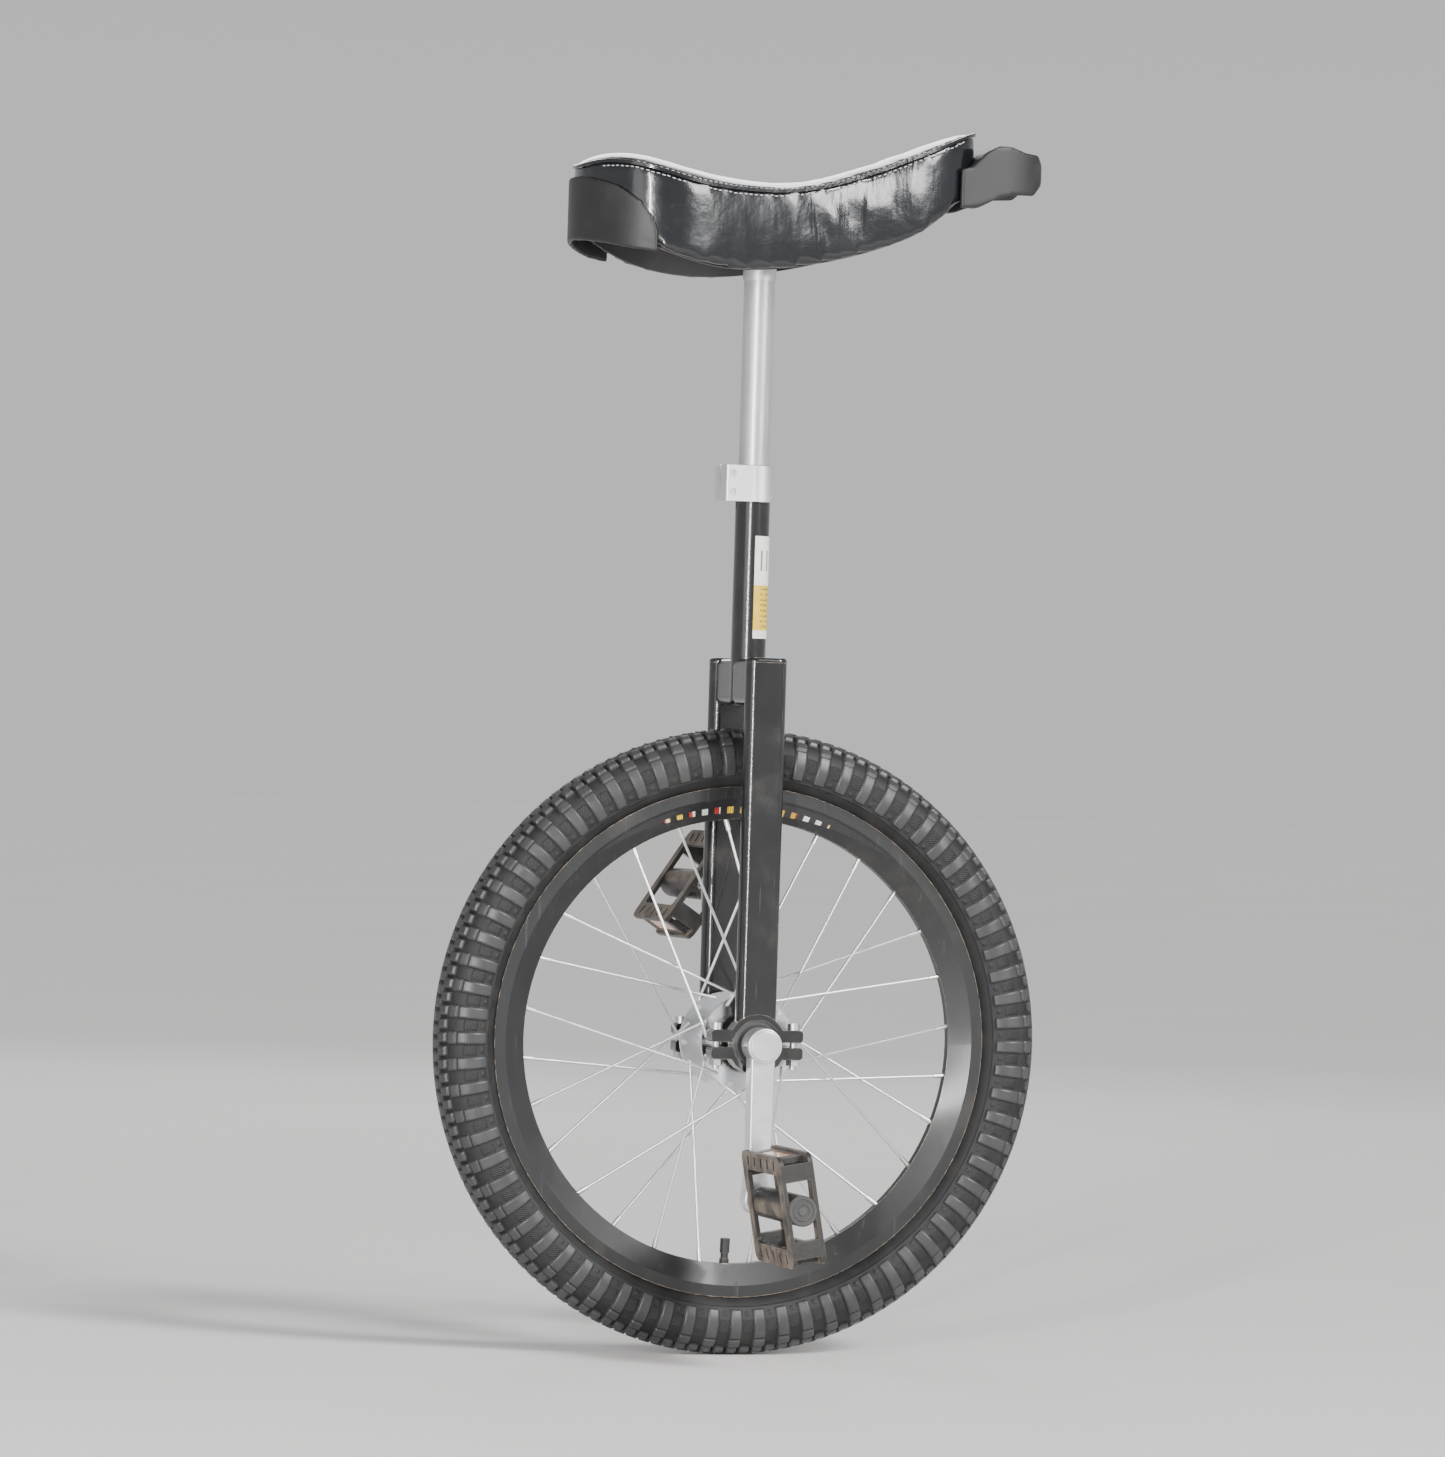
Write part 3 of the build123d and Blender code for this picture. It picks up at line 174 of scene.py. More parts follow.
class Finish(Nodes):
    """A material under construction, built on the Principled shader."""

    def __init__(self, name, **constants):
        self.material = bpy.data.materials.new(name)
        self.material.use_nodes = True
        super().__init__(self.material.node_tree)
        self.set(**constants)
        self.place = self.node("ShaderNodeTexCoord", output="Object")

    def set(self, **values):
        """Sets the shader's sockets: Base_Color=..., Roughness=..."""
        shader = self.tree.nodes["Principled BSDF"]
        for key, value in values.items():
            self.feed(shader.inputs[key.replace("_", " ")], value)
        return self

    def axes(self):
        return self.node("ShaderNodeSeparateXYZ", None, {0: self.place}, output=None)

    def cloud(self, scale, detail=4.0, roughness=0.55, stretch=None, distortion=0.0):
        """Soft noise between 0 and 1, drawn out where stretch is below 1."""
        place = self.place
        if stretch:
            place = self.node("ShaderNodeVectorMath", {"operation": "MULTIPLY"},
                              {0: place, 1: stretch})
        return self.node("ShaderNodeTexNoise", None, {
            "Vector": place, "Scale": scale, "Detail": detail,
            "Roughness": roughness, "Distortion": distortion})

    def cells(self, scale, feature="F1"):
        """Distance from the middle of the nearest of many small cells."""
        return self.node("ShaderNodeTexVoronoi", {"feature": feature},
                         {"Vector": self.place, "Scale": scale})

    def mix(self, factor, first, second):
        """first where factor is 0 and second where it is 1."""
        return self.node("ShaderNodeMix", {"data_type": "RGBA"},
                         {0: factor, 6: first, 7: second}, output=2)

    def edges(self, radius):
        """Near 0 on flats and rising to about 0.3 on sharp corners."""
        soft = self.node("ShaderNodeBevel", {"samples": 4}, {"Radius": radius})
        hard = self.node("ShaderNodeNewGeometry", output="Normal")
        return 1.0 - self.node("ShaderNodeVectorMath", {"operation": "DOT_PRODUCT"},
                               {0: soft, 1: hard}, output="Value")

    def bump(self, height, distance, strength=1.0, below=None):
        """Raises the surface by height; distance is in metres."""
        inputs = {"Height": height, "Distance": distance, "Strength": strength}
        if below:
            inputs["Normal"] = below
        return self.node("ShaderNodeBump", None, inputs)

    def round_axle(self):
        """Distance from the axle's line and the angle about it, in radians, +X towards +Z."""
        x, _, z = self.axes()
        z = z - AXLE_Z
        return (x * x + z * z) ** 0.5, z.maths("ARCTAN2", z, x)


# ------------------------------------------------------------------ finishes

def painted(name, colour, chip_colour, chips, roughness, coat):
    """Gloss paint with orange peel, fine scratches, dust and chips at the corners."""
    f = Finish(name, Coat_Weight=coat, Coat_Roughness=0.08)
    mottled = f.cloud(35.0, 5.0)
    scratches = f.cloud(220.0, 2.0, 0.7, (1.0, 1.0, 0.06)).fade(0.63, 0.72)
    dust = f.cloud(14.0, 6.0, 0.65).fade(0.5, 0.78)
    chipped = (f.cloud(260.0, 3.0) + f.edges(0.0012) * 0.9).fade(chips, chips + 0.02)
    darker = tuple(c * 0.7 for c in colour)
    tint = f.mix(mottled, darker, tuple(c * 1.25 for c in colour))
    tint = f.mix(dust * 0.07, tint, (0.34, 0.29, 0.24))
    tint = f.mix(scratches * 0.07, tint, (0.3, 0.3, 0.3))
    f.set(Base_Color=f.mix(chipped, tint, chip_colour),
          Roughness=mottled * 0.12 + dust * 0.2 + scratches * 0.2 + roughness,
          Metallic=chipped * 0.6)
    peel = f.bump(f.cloud(900.0, 2.0), 0.00006)
    return f.set(Normal=f.bump(1.0 - chipped, 0.00012, 0.7, peel)).material


def bright_metal(name, colour, roughness, grain=(1.0, 1.0, 1.0), grain_scale=400.0, spots=0.72):
    """Bare or plated metal: drawn or brushed grain, cloudy dulling and small dark spots."""
    f = Finish(name, Metallic=1.0)
    grain = f.cloud(grain_scale, 3.0, 0.6, grain)
    dull = f.cloud(45.0, 5.0, 0.6)
    specks = f.cloud(700.0, 3.0, 0.6).fade(spots, spots + 0.05)
    tint = f.mix(dull, tuple(c * 0.82 for c in colour), colour)
    f.set(Base_Color=f.mix(specks * 0.7, tint, (0.16, 0.13, 0.11)),
          Roughness=grain * 0.14 + dull * 0.16 + specks * 0.3 + roughness)
    return f.set(Normal=f.bump(grain - specks, 0.00004, 0.6)).material


def knurled_post(name):
    """Satin aluminium tube rolled with a fine diamond knurl whose grooves are painted dark as
    painted shade, worn bright where it slides.
    """
    f = Finish(name, Metallic=1.0)
    x, y, z = f.axes()
    angle = y.maths("ARCTAN2", y, x) * KNURL_STARTS
    rise = z * (KNURL_STARTS / POST_R)
    groove = abs((angle + rise).sine()) * abs((angle - rise).sine())
    groove = groove.fade(0.0, 0.4)
    worn = f.cloud(28.0, 5.0, 0.6, (1.0, 1.0, 0.35))
    runs = f.cloud(500.0, 2.0, 0.6, (1.0, 1.0, 0.03)).fade(0.58, 0.68)
    # Painted shade: the knurl's grooves are darker than the bright tops between them, and the worn
    # cloud sets how deep this painted shade is.
    dark = f.mix(worn, (0.30, 0.31, 0.32), (0.44, 0.45, 0.46))
    tint = f.mix(groove, dark, (0.83, 0.84, 0.85))
    f.set(Base_Color=f.mix(runs * 0.5, tint, (0.93, 0.93, 0.92)),
          Roughness=0.46 - groove * 0.16 + worn * 0.12)
    return f.set(Normal=f.bump(groove, 0.00022, 0.8)).material


def cast_alloy(name):
    """Polished cast aluminium of the cranks: bright faces, a soft grain and fine dents painted
    darker as painted shade.
    """
    f = Finish(name, Metallic=0.85, Coat_Weight=0.3, Coat_Roughness=0.12)
    cast = f.cloud(150.0, 5.0)
    dents = f.cells(240.0).fade(0.0, 0.16)
    rubbed = f.cloud(24.0, 4.0).fade(0.4, 0.75)
    tint = f.mix(cast, (0.70, 0.72, 0.75), (0.90, 0.91, 0.93))
    # Painted shade: the fine dents are mixed towards dark grey against the bright faces round them.
    f.set(Base_Color=f.mix((1.0 - dents) * 0.3, tint, (0.42, 0.42, 0.43)),
          Roughness=0.24 + cast * 0.1 + rubbed * 0.1)
    return f.set(Normal=f.bump(cast * 0.4 + dents, 0.00006, 0.7)).material


def tyre_rubber(name):
    """Black rubber: the raised lugs painted greyer as a painted highlight and the grooves near
    black as painted shade; the lugs shinier, dusty in the grooves.
    """
    f = Finish(name, Specular_IOR_Level=0.55)
    radius, angle = f.round_axle()
    _, y, _ = f.axes()
    mid = TYRE_R - TREAD_SECTION
    lift = ((radius - mid) * (radius - mid) + y * y) ** 0.5
    raised = lift.fade(TREAD_SECTION - 0.0030, TREAD_SECTION - 0.0016)
    dusty = f.cloud(60.0, 6.0, 0.65).fade(0.42, 0.7)
    fine = f.cloud(800.0, 3.0)
    patch = radius.within(mid - 0.003, mid + 0.008) * (1.0 - raised)
    ribs = (angle * PITCHES * RIBS_PER_PITCH + radius * 2600.0).sine()
    # Painted highlight and shade: the raised lugs get a greyer colour and the grooves between them
    # a near-black one.
    tint = f.mix(raised, (0.006, 0.006, 0.0065), (0.036, 0.037, 0.038))
    tint = f.mix(dusty * 0.08, tint, (0.16, 0.145, 0.125))
    f.set(Base_Color=tint,
          Roughness=0.58 - raised * 0.24 + dusty * 0.15 + fine * 0.08)
    grain = f.bump(fine, 0.00008, 0.6)
    return f.set(Normal=f.bump(ribs * patch, 0.00022, 0.8, grain)).material


def moulded(name, colour, roughness, wear_colour=(0.24, 0.20, 0.16), wear=0.25, grain=900.0):
    """Moulded plastic or rubber: fine leathery grain, rubbed corners, dust in patches."""
    f = Finish(name)
    skin = f.cells(grain)
    patches = f.cloud(30.0, 6.0, 0.6)
    rubbed = (f.edges(0.0015) * 2.4 * f.cloud(120.0, 4.0)).fade(0.08, 0.4)
    dust = patches.fade(0.5, 0.8)
    tint = f.mix(patches, tuple(c * 0.75 for c in colour), tuple(c * 1.2 for c in colour))
    tint = f.mix(dust * wear * 0.6, tint, wear_colour)
    f.set(Base_Color=f.mix(rubbed * wear * 2.0, tint, wear_colour),
          Roughness=roughness + patches * 0.12 + dust * 0.1 - rubbed * 0.1)
    return f.set(Normal=f.bump(skin, 0.00007, 0.5)).material


def pedal_plastic(name, tilt):
    """Black plastic pedal, trodden to a dusty tan on the gripping faces and their corners."""
    f = Finish(name)
    facing = f.node("ShaderNodeTexCoord", output="Normal")
    across = (-math.sin(tilt), 0.0, math.cos(tilt))
    tread = abs(f.node("ShaderNodeVectorMath", {"operation": "DOT_PRODUCT"},
                       {0: facing, 1: across}, output="Value")).fade(0.8, 0.97)
    patches = f.cloud(55.0, 6.0, 0.62)
    scuffs = f.cloud(260.0, 3.0, 0.6, distortion=0.6).fade(0.45, 0.62)
    corner = (f.edges(0.0014) * 3.0).fade(0.1, 0.6)
    worn = (tread * patches.fade(0.3, 0.62) * 0.62 + corner * 0.55 * patches
            + tread * scuffs * 0.18)
    tan = f.mix(patches, (0.17, 0.125, 0.09), (0.36, 0.30, 0.245))
    black = f.mix(patches, (0.014, 0.0135, 0.013), (0.040, 0.038, 0.035))
    f.set(Base_Color=f.mix(worn, black, tan),
          Roughness=0.42 + worn * 0.35 + scuffs * 0.1)
    return f.set(Normal=f.bump(patches + scuffs * 0.6, 0.00016, 0.6)).material


def ringed_cap(name):
    """Plastic cap with turned rings about the pedal's own axis."""
    f = Finish(name)
    x, _, z = f.axes()
    low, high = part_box("pedal_end_cap_right" if "right" in name else "pedal_end_cap_left")
    middle = (low + high) / 2
    x, z = x - middle.x, z - middle.z
    radius = (x * x + z * z) ** 0.5
    rings = (radius * 2600.0).sine().fade(-0.3, 0.3) * radius.within(0.0035, 0.0102)
    patches = f.cloud(90.0, 5.0)
    f.set(Base_Color=f.mix(patches, (0.035, 0.035, 0.036), (0.085, 0.083, 0.08)),
          Roughness=0.42 + patches * 0.2)
    return f.set(Normal=f.bump(rings, 0.0004, 0.9)).material


def vinyl(name):
    """Glossy black vinyl: soft pebble grain, creases below the seam, scuffs on the crown."""
    f = Finish(name, Coat_Weight=0.45, Coat_Roughness=0.07, Specular_IOR_Level=0.45)
    x, _, z = f.axes()
    pebbles = f.cells(620.0, "SMOOTH_F1")
    soft = f.cloud(26.0, 4.0)
    creases = f.cloud(34.0, 3.0, 0.5, (2.6, 1.0, 0.5), 0.5)
    strained = x.fade(0.0, 0.04) * (1.0 - x.fade(0.11, 0.15))
    scuffed = f.cloud(85.0, 6.0, 0.7).fade(0.55, 0.75)
    tint = f.mix(soft, (0.004, 0.0045, 0.0055), (0.011, 0.013, 0.016))
    f.set(Base_Color=f.mix(scuffed * 0.12, tint, (0.06, 0.06, 0.062)),
          Roughness=0.14 + soft * 0.1 + scuffed * 0.1)
    folds = f.bump(creases * (strained + 0.3), 0.0006, 0.8)
    swell = f.bump(soft, 0.0016, 0.5, folds)
    return f.set(Normal=f.bump(pebbles, 0.00008, 0.35, swell)).material


def thread(name):
    """Pale waxed thread with its twist."""
    f = Finish(name)
    x, y, z = f.axes()
    twist = ((x + z + y * 0.4) * 5200.0).sine()
    soiled = f.cloud(200.0, 4.0)
    f.set(Base_Color=f.mix(soiled, (0.38, 0.36, 0.33), (0.80, 0.79, 0.76)),
          Roughness=0.5 + soiled * 0.2)
    return f.set(Normal=f.bump(twist, 0.00012, 0.7)).material


def foam(name):
    """Open-cell grey foam, seen only from below."""
    f = Finish(name)
    holes = f.cells(900.0)
    tone = f.cloud(60.0)
    f.set(Base_Color=f.mix(tone, (0.10, 0.10, 0.10), (0.17, 0.165, 0.16)),
          Roughness=0.85 + tone * 0.1)
    return f.set(Normal=f.bump(holes, 0.0004)).material


def sticker(name):
    """White sticker with a yellow block; its short dark lines stand for print and say nothing."""
    f = Finish(name, Coat_Weight=0.4, Coat_Roughness=0.2)
    low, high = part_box("seat_tube_label")
    x, y, z = f.axes()
    height = (z - low.z) / (high.z - low.z)
    turn = y.maths("ARCTAN2", y, x)
    yellow = height.within(0.08, 0.52)
    lines = (height * 120.0).sine().fade(0.1, 0.5) * turn.within(-1.25, -0.45)
    lines = lines * yellow * f.cloud(600.0, 2.0).fade(0.4, 0.55)
    bars = ((turn * 14.0).sine() > 0.62) * height.within(0.66, 0.86) * turn.within(-1.45, -0.2)
    aged = f.cloud(90.0, 5.0)
    paper = f.mix(aged, (0.72, 0.70, 0.66), (0.93, 0.92, 0.90))
    block = f.mix(aged, (0.62, 0.40, 0.02), (0.85, 0.60, 0.04))
    tint = f.mix(yellow, paper, block)
    marks = lines.maths("MAXIMUM", lines * 0.75, bars * 0.8)
    f.set(Base_Color=f.mix(marks, tint, (0.03, 0.03, 0.03)), Roughness=0.35 + aged * 0.2)
    return f.set(Normal=f.bump(aged, 0.00006)).material


def rim_stripe(name):
    """Black decal on the rim with plain white, yellow and red dashes."""
    f = Finish(name, Coat_Weight=0.5, Coat_Roughness=0.12)
    radius, angle = f.round_axle()
    turn = angle * (180.0 / math.pi) - 90.0
    middle = (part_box("rim_decals")[1].z - AXLE_Z) - 0.008
    band = abs(radius - middle) < 0.0032
    thin = abs(radius - middle) < 0.0012
    beat = (turn * 1.9).sine()
    dashes = band * (beat > 0.1) * (abs(turn) < 22.0) * (abs((turn * 6.1).sine()) > 0.25)
    slivers = thin * abs(turn).within(25.0, 33.0) * ((turn * 2.3).sine() > 0.2)
    yellow = (turn * 0.45).sine() > 0.35
    red = (turn * 0.9 + 1.0).sine() > 0.86
    aged = f.cloud(150.0, 5.0)
    ink = f.mix(yellow, (0.86, 0.85, 0.82), (0.85, 0.55, 0.03))
    ink = f.mix(red, ink, (0.45, 0.03, 0.02))
    ground = f.mix(aged, (0.008, 0.008, 0.009), (0.022, 0.022, 0.023))
    ground = f.mix(slivers, ground, (0.42, 0.06, 0.045))
    f.set(Base_Color=f.mix(dashes, ground, ink), Roughness=0.22 + aged * 0.14)
    return f.set(Normal=f.bump(aged, 0.00004)).material


def reflector(name):
    """Amber reflector with a pressed prism grid, its prisms painted lighter and darker as painted
    glints and shade.
    """
    f = Finish(name, Coat_Weight=0.8, Coat_Roughness=0.04, Specular_IOR_Level=0.8)
    x, y, z = f.axes()
    prisms = abs(((x + z) * 1500.0).sine()) * abs((y * 2100.0).sine())
    grime = f.cloud(110.0, 5.0).fade(0.5, 0.8)
    # Painted glints and shade: the amber is lighter on the prism tops and darker between them.
    tint = f.mix(prisms, (0.50, 0.09, 0.004), (0.98, 0.36, 0.02))
    f.set(Base_Color=f.mix(grime * 0.5, tint, (0.12, 0.07, 0.03)), Roughness=0.16 + grime * 0.3)
    return f.set(Normal=f.bump(prisms, 0.0004, 0.7)).material


def rim_strip_tape(name):
    """Dark red-brown strip that shows as a thin ring between the tyre and the rim."""
    f = Finish(name)
    tone = f.cloud(200.0, 5.0)
    f.set(Base_Color=f.mix(tone, (0.06, 0.014, 0.010), (0.16, 0.045, 0.032)),
          Roughness=0.6 + tone * 0.2)
    return f.set(Normal=f.bump(tone, 0.0002)).material


def studio_floor(name):
    """Matt off-white floor paper."""
    f = Finish(name)
    tone = f.cloud(1.4, 3.0)
    f.set(Base_Color=f.mix(tone, (0.74, 0.72, 0.70), (0.80, 0.78, 0.765)), Roughness=0.9)
    return f.set(Normal=f.bump(f.cloud(300.0, 3.0), 0.0002, 0.3)).material


# ------------------------------------------------------------------ mesh helpers

def placed(name, data):
    """A new object in the scene that holds a mesh, a light or a camera."""
    made = bpy.data.objects.new(name, data)
    bpy.context.scene.collection.objects.link(made)
    return made


def new_object(name, mesh, material, body):
    """Puts a mesh into the scene as a piece that rides on a body."""
    piece = placed(name, mesh)
    mesh.materials.clear()
    mesh.materials.append(material)
    mesh.polygons.foreach_set("use_smooth", [True] * len(mesh.polygons))
    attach(piece, body)
    return piece


def merged(name, *sources):
    """One mesh of several nodes' solids."""
    bm = bmesh.new()
    for source in sources:
        bm.from_mesh(NODES[source].data)
    bmesh.ops.remove_doubles(bm, verts=bm.verts, dist=1e-6)
    mesh = bpy.data.meshes.new(name)
    bm.to_mesh(mesh)
    bm.free()
    mesh.materials.clear()
    return mesh


def settled(piece):
    """The piece's mesh with its modifiers applied."""
    graph = bpy.context.evaluated_depsgraph_get()
    return bpy.data.meshes.new_from_object(piece.evaluated_get(graph))


def remeshed(mesh, voxel, rounds=0):
    """The mesh rebuilt in even faces, then relaxed, which rounds its corners."""
    carrier = placed("carrier", mesh)
    remesh = carrier.modifiers.new("even", "REMESH")
    remesh.mode, remesh.voxel_size = "VOXEL", voxel
    if rounds:
        smooth = carrier.modifiers.new("relax", "SMOOTH")
        smooth.factor, smooth.iterations = 0.5, rounds
    result = settled(carrier)
    bpy.data.objects.remove(carrier)
    return result


def points_of(mesh, key="co"):
    """The places of the mesh's vertices, or their normals where key is "normal"."""
    values = np.empty(len(mesh.vertices) * 3, np.float32)
    mesh.vertices.foreach_get(key, values)
    return values.reshape(-1, 3).astype(float)


def put_points(mesh, points):
    mesh.vertices.foreach_set("co", points.astype(np.float32).ravel())
    mesh.update()


# ------------------------------------------------------------------ tyre

def build_tyre(base, wall, bead_low):
    """A closed ring: block tread outside, plain lining inside, beads inside the rim's flanges."""
    flank = math.degrees(math.pi - math.asin((RIM_HALF - BEAD_INSET) / base))
    outer = np.concatenate([np.arange(-flank, flank, 2.0), [flank]])
    pitch = np.arange(STEPS) / STEPS
    lift = np.zeros((len(outer), STEPS))
    for start, end, blocks, height in TREAD_BANDS:
        rows = (np.abs(outer) >= start) & (np.abs(outer) <= end)
        for low, high in blocks:
            columns = (pitch >= low - 1e-9) & (pitch <= high + 1e-9)
            columns |= (high >= 1.0) & (pitch < 1e-9)
            patch = np.outer(rows, columns)
            lift[patch] = np.maximum(lift[patch], height / 1000)
    lift = np.tile(lift, (1, PITCHES))
    section = np.radians(outer)[:, None]
    around = np.radians(np.arange(PITCHES * STEPS) * 360.0 / (PITCHES * STEPS))[None, :]
    middle = TYRE_R - TREAD_SECTION
    ring_y = (base + lift) * np.sin(section)
    ring_r = middle + (base + lift) * np.cos(section)
    bead_y = float(ring_y[-1, 0])
    inner = np.radians(np.arange(flank - 6.0, -flank + 5.0, -12.0))
    extra = [(bead_y, bead_low), (bead_y - wall, bead_low)]
    extra += [((base - wall) * math.sin(a), middle + (base - wall) * math.cos(a)) for a in inner]
    extra += [(wall - bead_y, bead_low), (-bead_y, bead_low)]
    ones = np.ones_like(around)
    ring_y = np.vstack([ring_y] + [y * ones for y, _ in extra])
    ring_r = np.vstack([ring_r] + [r * ones for _, r in extra])
    rows, columns = ring_r.shape
    points = np.stack([ring_r * np.cos(around), ring_y, AXLE_Z + ring_r * np.sin(around)], -1)
    index = np.arange(rows * columns).reshape(rows, columns)
    down, along = np.roll(index, -1, 0), np.roll(index, -1, 1)
    across = np.roll(down, -1, 1)
    faces = np.stack([index, along, across, down], -1).reshape(-1, 4)
    mesh = bpy.data.meshes.new("tyre_tread")
    mesh.from_pydata(points.reshape(-1, 3).tolist(), [], faces.tolist())
    mesh.validate()
    return mesh


# ------------------------------------------------------------------ saddle

def seam_lines():
    """The piping's centre line on each side, rear to front, as lists of points."""
    points = points_of(NODES["saddle_piping"].data)
    lines = {}
    for side in (-1, 1):
        row = points[points[:, 1] * side > 0.02]
        marks = np.arange(row[:, 0].min() + 0.004, row[:, 0].max() - 0.004, 0.004)
        line = []
        for mark in marks:
            near = row[np.abs(row[:, 0] - mark) < 0.0042]
            if len(near) > 3:
                line.append(near.mean(0))
        line = np.array(line)
        kernel = np.ones(5) / 5
        padded = np.vstack([np.repeat(line[:1], 2, 0), line, np.repeat(line[-1:], 2, 0)])
        lines[side] = np.stack([np.convolve(padded[:, i], kernel, "valid") for i in range(3)], 1)
    return lines


def puffed(mesh, held, pressure, cap, frames):
    """Inflates the mesh as cloth, held where held is 1, and moves no point further than cap."""
    piece = placed("puffing", mesh)
    scene = bpy.context.scene
    group = piece.vertex_groups.new(name="held")
    for weight in sorted(set(held)):
        group.add([i for i, w in enumerate(held) if w == weight], float(weight), "REPLACE")
    rest = points_of(mesh)
    cloth = piece.modifiers.new("cloth", "CLOTH")
    cloth.settings.quality = 5
    cloth.settings.vertex_group_mass = "held"
    cloth.settings.use_pressure = True
    cloth.settings.uniform_pressure_force = pressure
    cloth.settings.effector_weights.gravity = 0.0
    cloth.collision_settings.use_collision = False
    cloth.point_cache.frame_start, cloth.point_cache.frame_end = 1, frames
    for number in range(1, frames + 1):
        scene.frame_set(number)
    moved = points_of(piece.evaluated_get(bpy.context.evaluated_depsgraph_get()).to_mesh())
    bpy.data.objects.remove(piece)
    scene.frame_set(1)
    shift = moved - rest
    length = np.linalg.norm(shift, axis=1, keepdims=True)
    shift *= cap * np.tanh(length / cap) / np.maximum(length, 1e-9)
    put_points(mesh, rest + shift)


def cushion_mesh(voxel, pressure, cap, frames):
    """The padded saddle: cover and foam as one body, swollen between the seam and the hem."""
    mesh = remeshed(merged("cushion", "saddle_cover", "saddle_foam"), voxel, 2)
    points, normals = points_of(mesh), points_of(mesh, "normal")
    tree = kdtree.KDTree(len(NODES["saddle_piping"].data.vertices))
    for i, vertex in enumerate(NODES["saddle_piping"].data.vertices):
        tree.insert(vertex.co, i)
    tree.balance()
    away = np.array([tree.find(p)[2] for p in points])
    inward = -(normals[:, 1] * np.sign(points[:, 1])) > 0.35
    under = normals[:, 2] < -0.25
    held = np.where(inward | under, 1.0, 0.0)
    held[away < SEAM_HELD] = 1.0
    held[(away >= SEAM_HELD) & (away < SEAM_EASED)] = 0.4
    puffed(mesh, held.tolist(), pressure, cap, frames)
    points, normals = points_of(mesh), points_of(mesh, "normal")
    slots = np.round(points[:, 0] / HEM_STEP).astype(int)
    hem = {slot: points[slots == slot, 2].min() for slot in np.unique(slots)}
    above_hem = points[:, 2] - np.array([hem[slot] for slot in slots])
    side = np.clip((away - 0.006) / 0.02, 0, 1) * np.clip((above_hem - 0.010) / 0.020, 0, 1)
    side *= held < 0.5
    waves = np.array([noise.noise(Vector((x * 62 + z * 26, y * 9, z * 17))) for x, y, z in points])
    strain = np.exp(-((points[:, 0] - CREASE_X) / CREASE_REACH) ** 2) + 0.25
    lift = CREASE_HEIGHT * waves * strain * side
    put_points(mesh, points + normals * lift[:, None])
    return mesh


def beads(name, paths, length, radius):
    """Small rounded stitches: each path entry is (centre, direction, outward)."""
    rings, sides = 4, 6
    points, faces = [], []
    for centre, direction, outward in paths:
        direction = direction.normalized()
        across = direction.cross(outward).normalized()
        first = len(points)
        points.append(centre - direction * length / 2)
        for ring in range(rings):
            at = (ring + 0.5) / rings * math.pi
            for step in range(sides):
                turn = step / sides * math.tau
                round_part = across * math.cos(turn) + outward * math.sin(turn)
                points.append(centre - direction * (math.cos(at) * length / 2)
                              + round_part * (radius * math.sin(at) ** 0.6))
        points.append(centre + direction * length / 2)
        last = len(points) - 1
        for step in range(sides):
            after = (step + 1) % sides
            faces.append((first, first + 1 + after, first + 1 + step))
            for ring in range(rings - 1):
                low = first + 1 + ring * sides
                faces.append((low + step, low + after, low + sides + after, low + sides + step))
            low = first + 1 + (rings - 1) * sides
            faces.append((low + step, low + after, last))
    mesh = bpy.data.meshes.new(name)
    mesh.from_pydata([tuple(p) for p in points], [], faces)
    mesh.validate()
    return mesh


# ------------------------------------------------------------------ settings

class UnicycleFinishSettings(bpy.types.PropertyGroup):
    paint: bpy.props.FloatVectorProperty(
        name="Frame paint", description="Colour of the frame and the rim",
        subtype="COLOR", default=(0.012, 0.0125, 0.013), min=0, max=1)
    plastic: bpy.props.FloatVectorProperty(
        name="Guards", description="Colour of the saddle's rear guard and front handle",
        subtype="COLOR", default=(0.014, 0.0145, 0.0155), min=0, max=1)
    gloss: bpy.props.FloatProperty(
        name="Paint roughness", description="Lowest roughness of the frame's paint",
        subtype="FACTOR", default=0.13, min=0, max=1)


class UnicycleShapeSettings(bpy.types.PropertyGroup):
    tyre_base: bpy.props.FloatProperty(
        name="Tyre section", description="Section radius at the bottom of the tread",
        unit="LENGTH", default=0.0236)
    tyre_wall: bpy.props.FloatProperty(
        name="Tyre wall", description="Thickness of the tyre's wall", unit="LENGTH", default=0.0035)
    voxel: bpy.props.FloatProperty(
        name="Cushion mesh", description="Size of the faces that the cushion is simulated with",
        unit="LENGTH", default=0.0045)
    pressure: bpy.props.FloatProperty(
        name="Cushion pressure", description="Air pressure that swells the cushion", default=4.0)
    swell: bpy.props.FloatProperty(
        name="Cushion swell", description="How far any point of the cushion may move",
        unit="LENGTH", default=0.0045)
    stitch_pitch: bpy.props.FloatProperty(
        name="Stitch pitch", description="Distance from one stitch to the next",
        unit="LENGTH", default=0.0048)
    stitch_length: bpy.props.FloatProperty(
        name="Stitch length", description="Length of a stitch", unit="LENGTH", default=0.0032)
    stitch_radius: bpy.props.FloatProperty(
        name="Stitch radius", description="Half the thickness of a stitch",
        unit="LENGTH", default=0.00055)


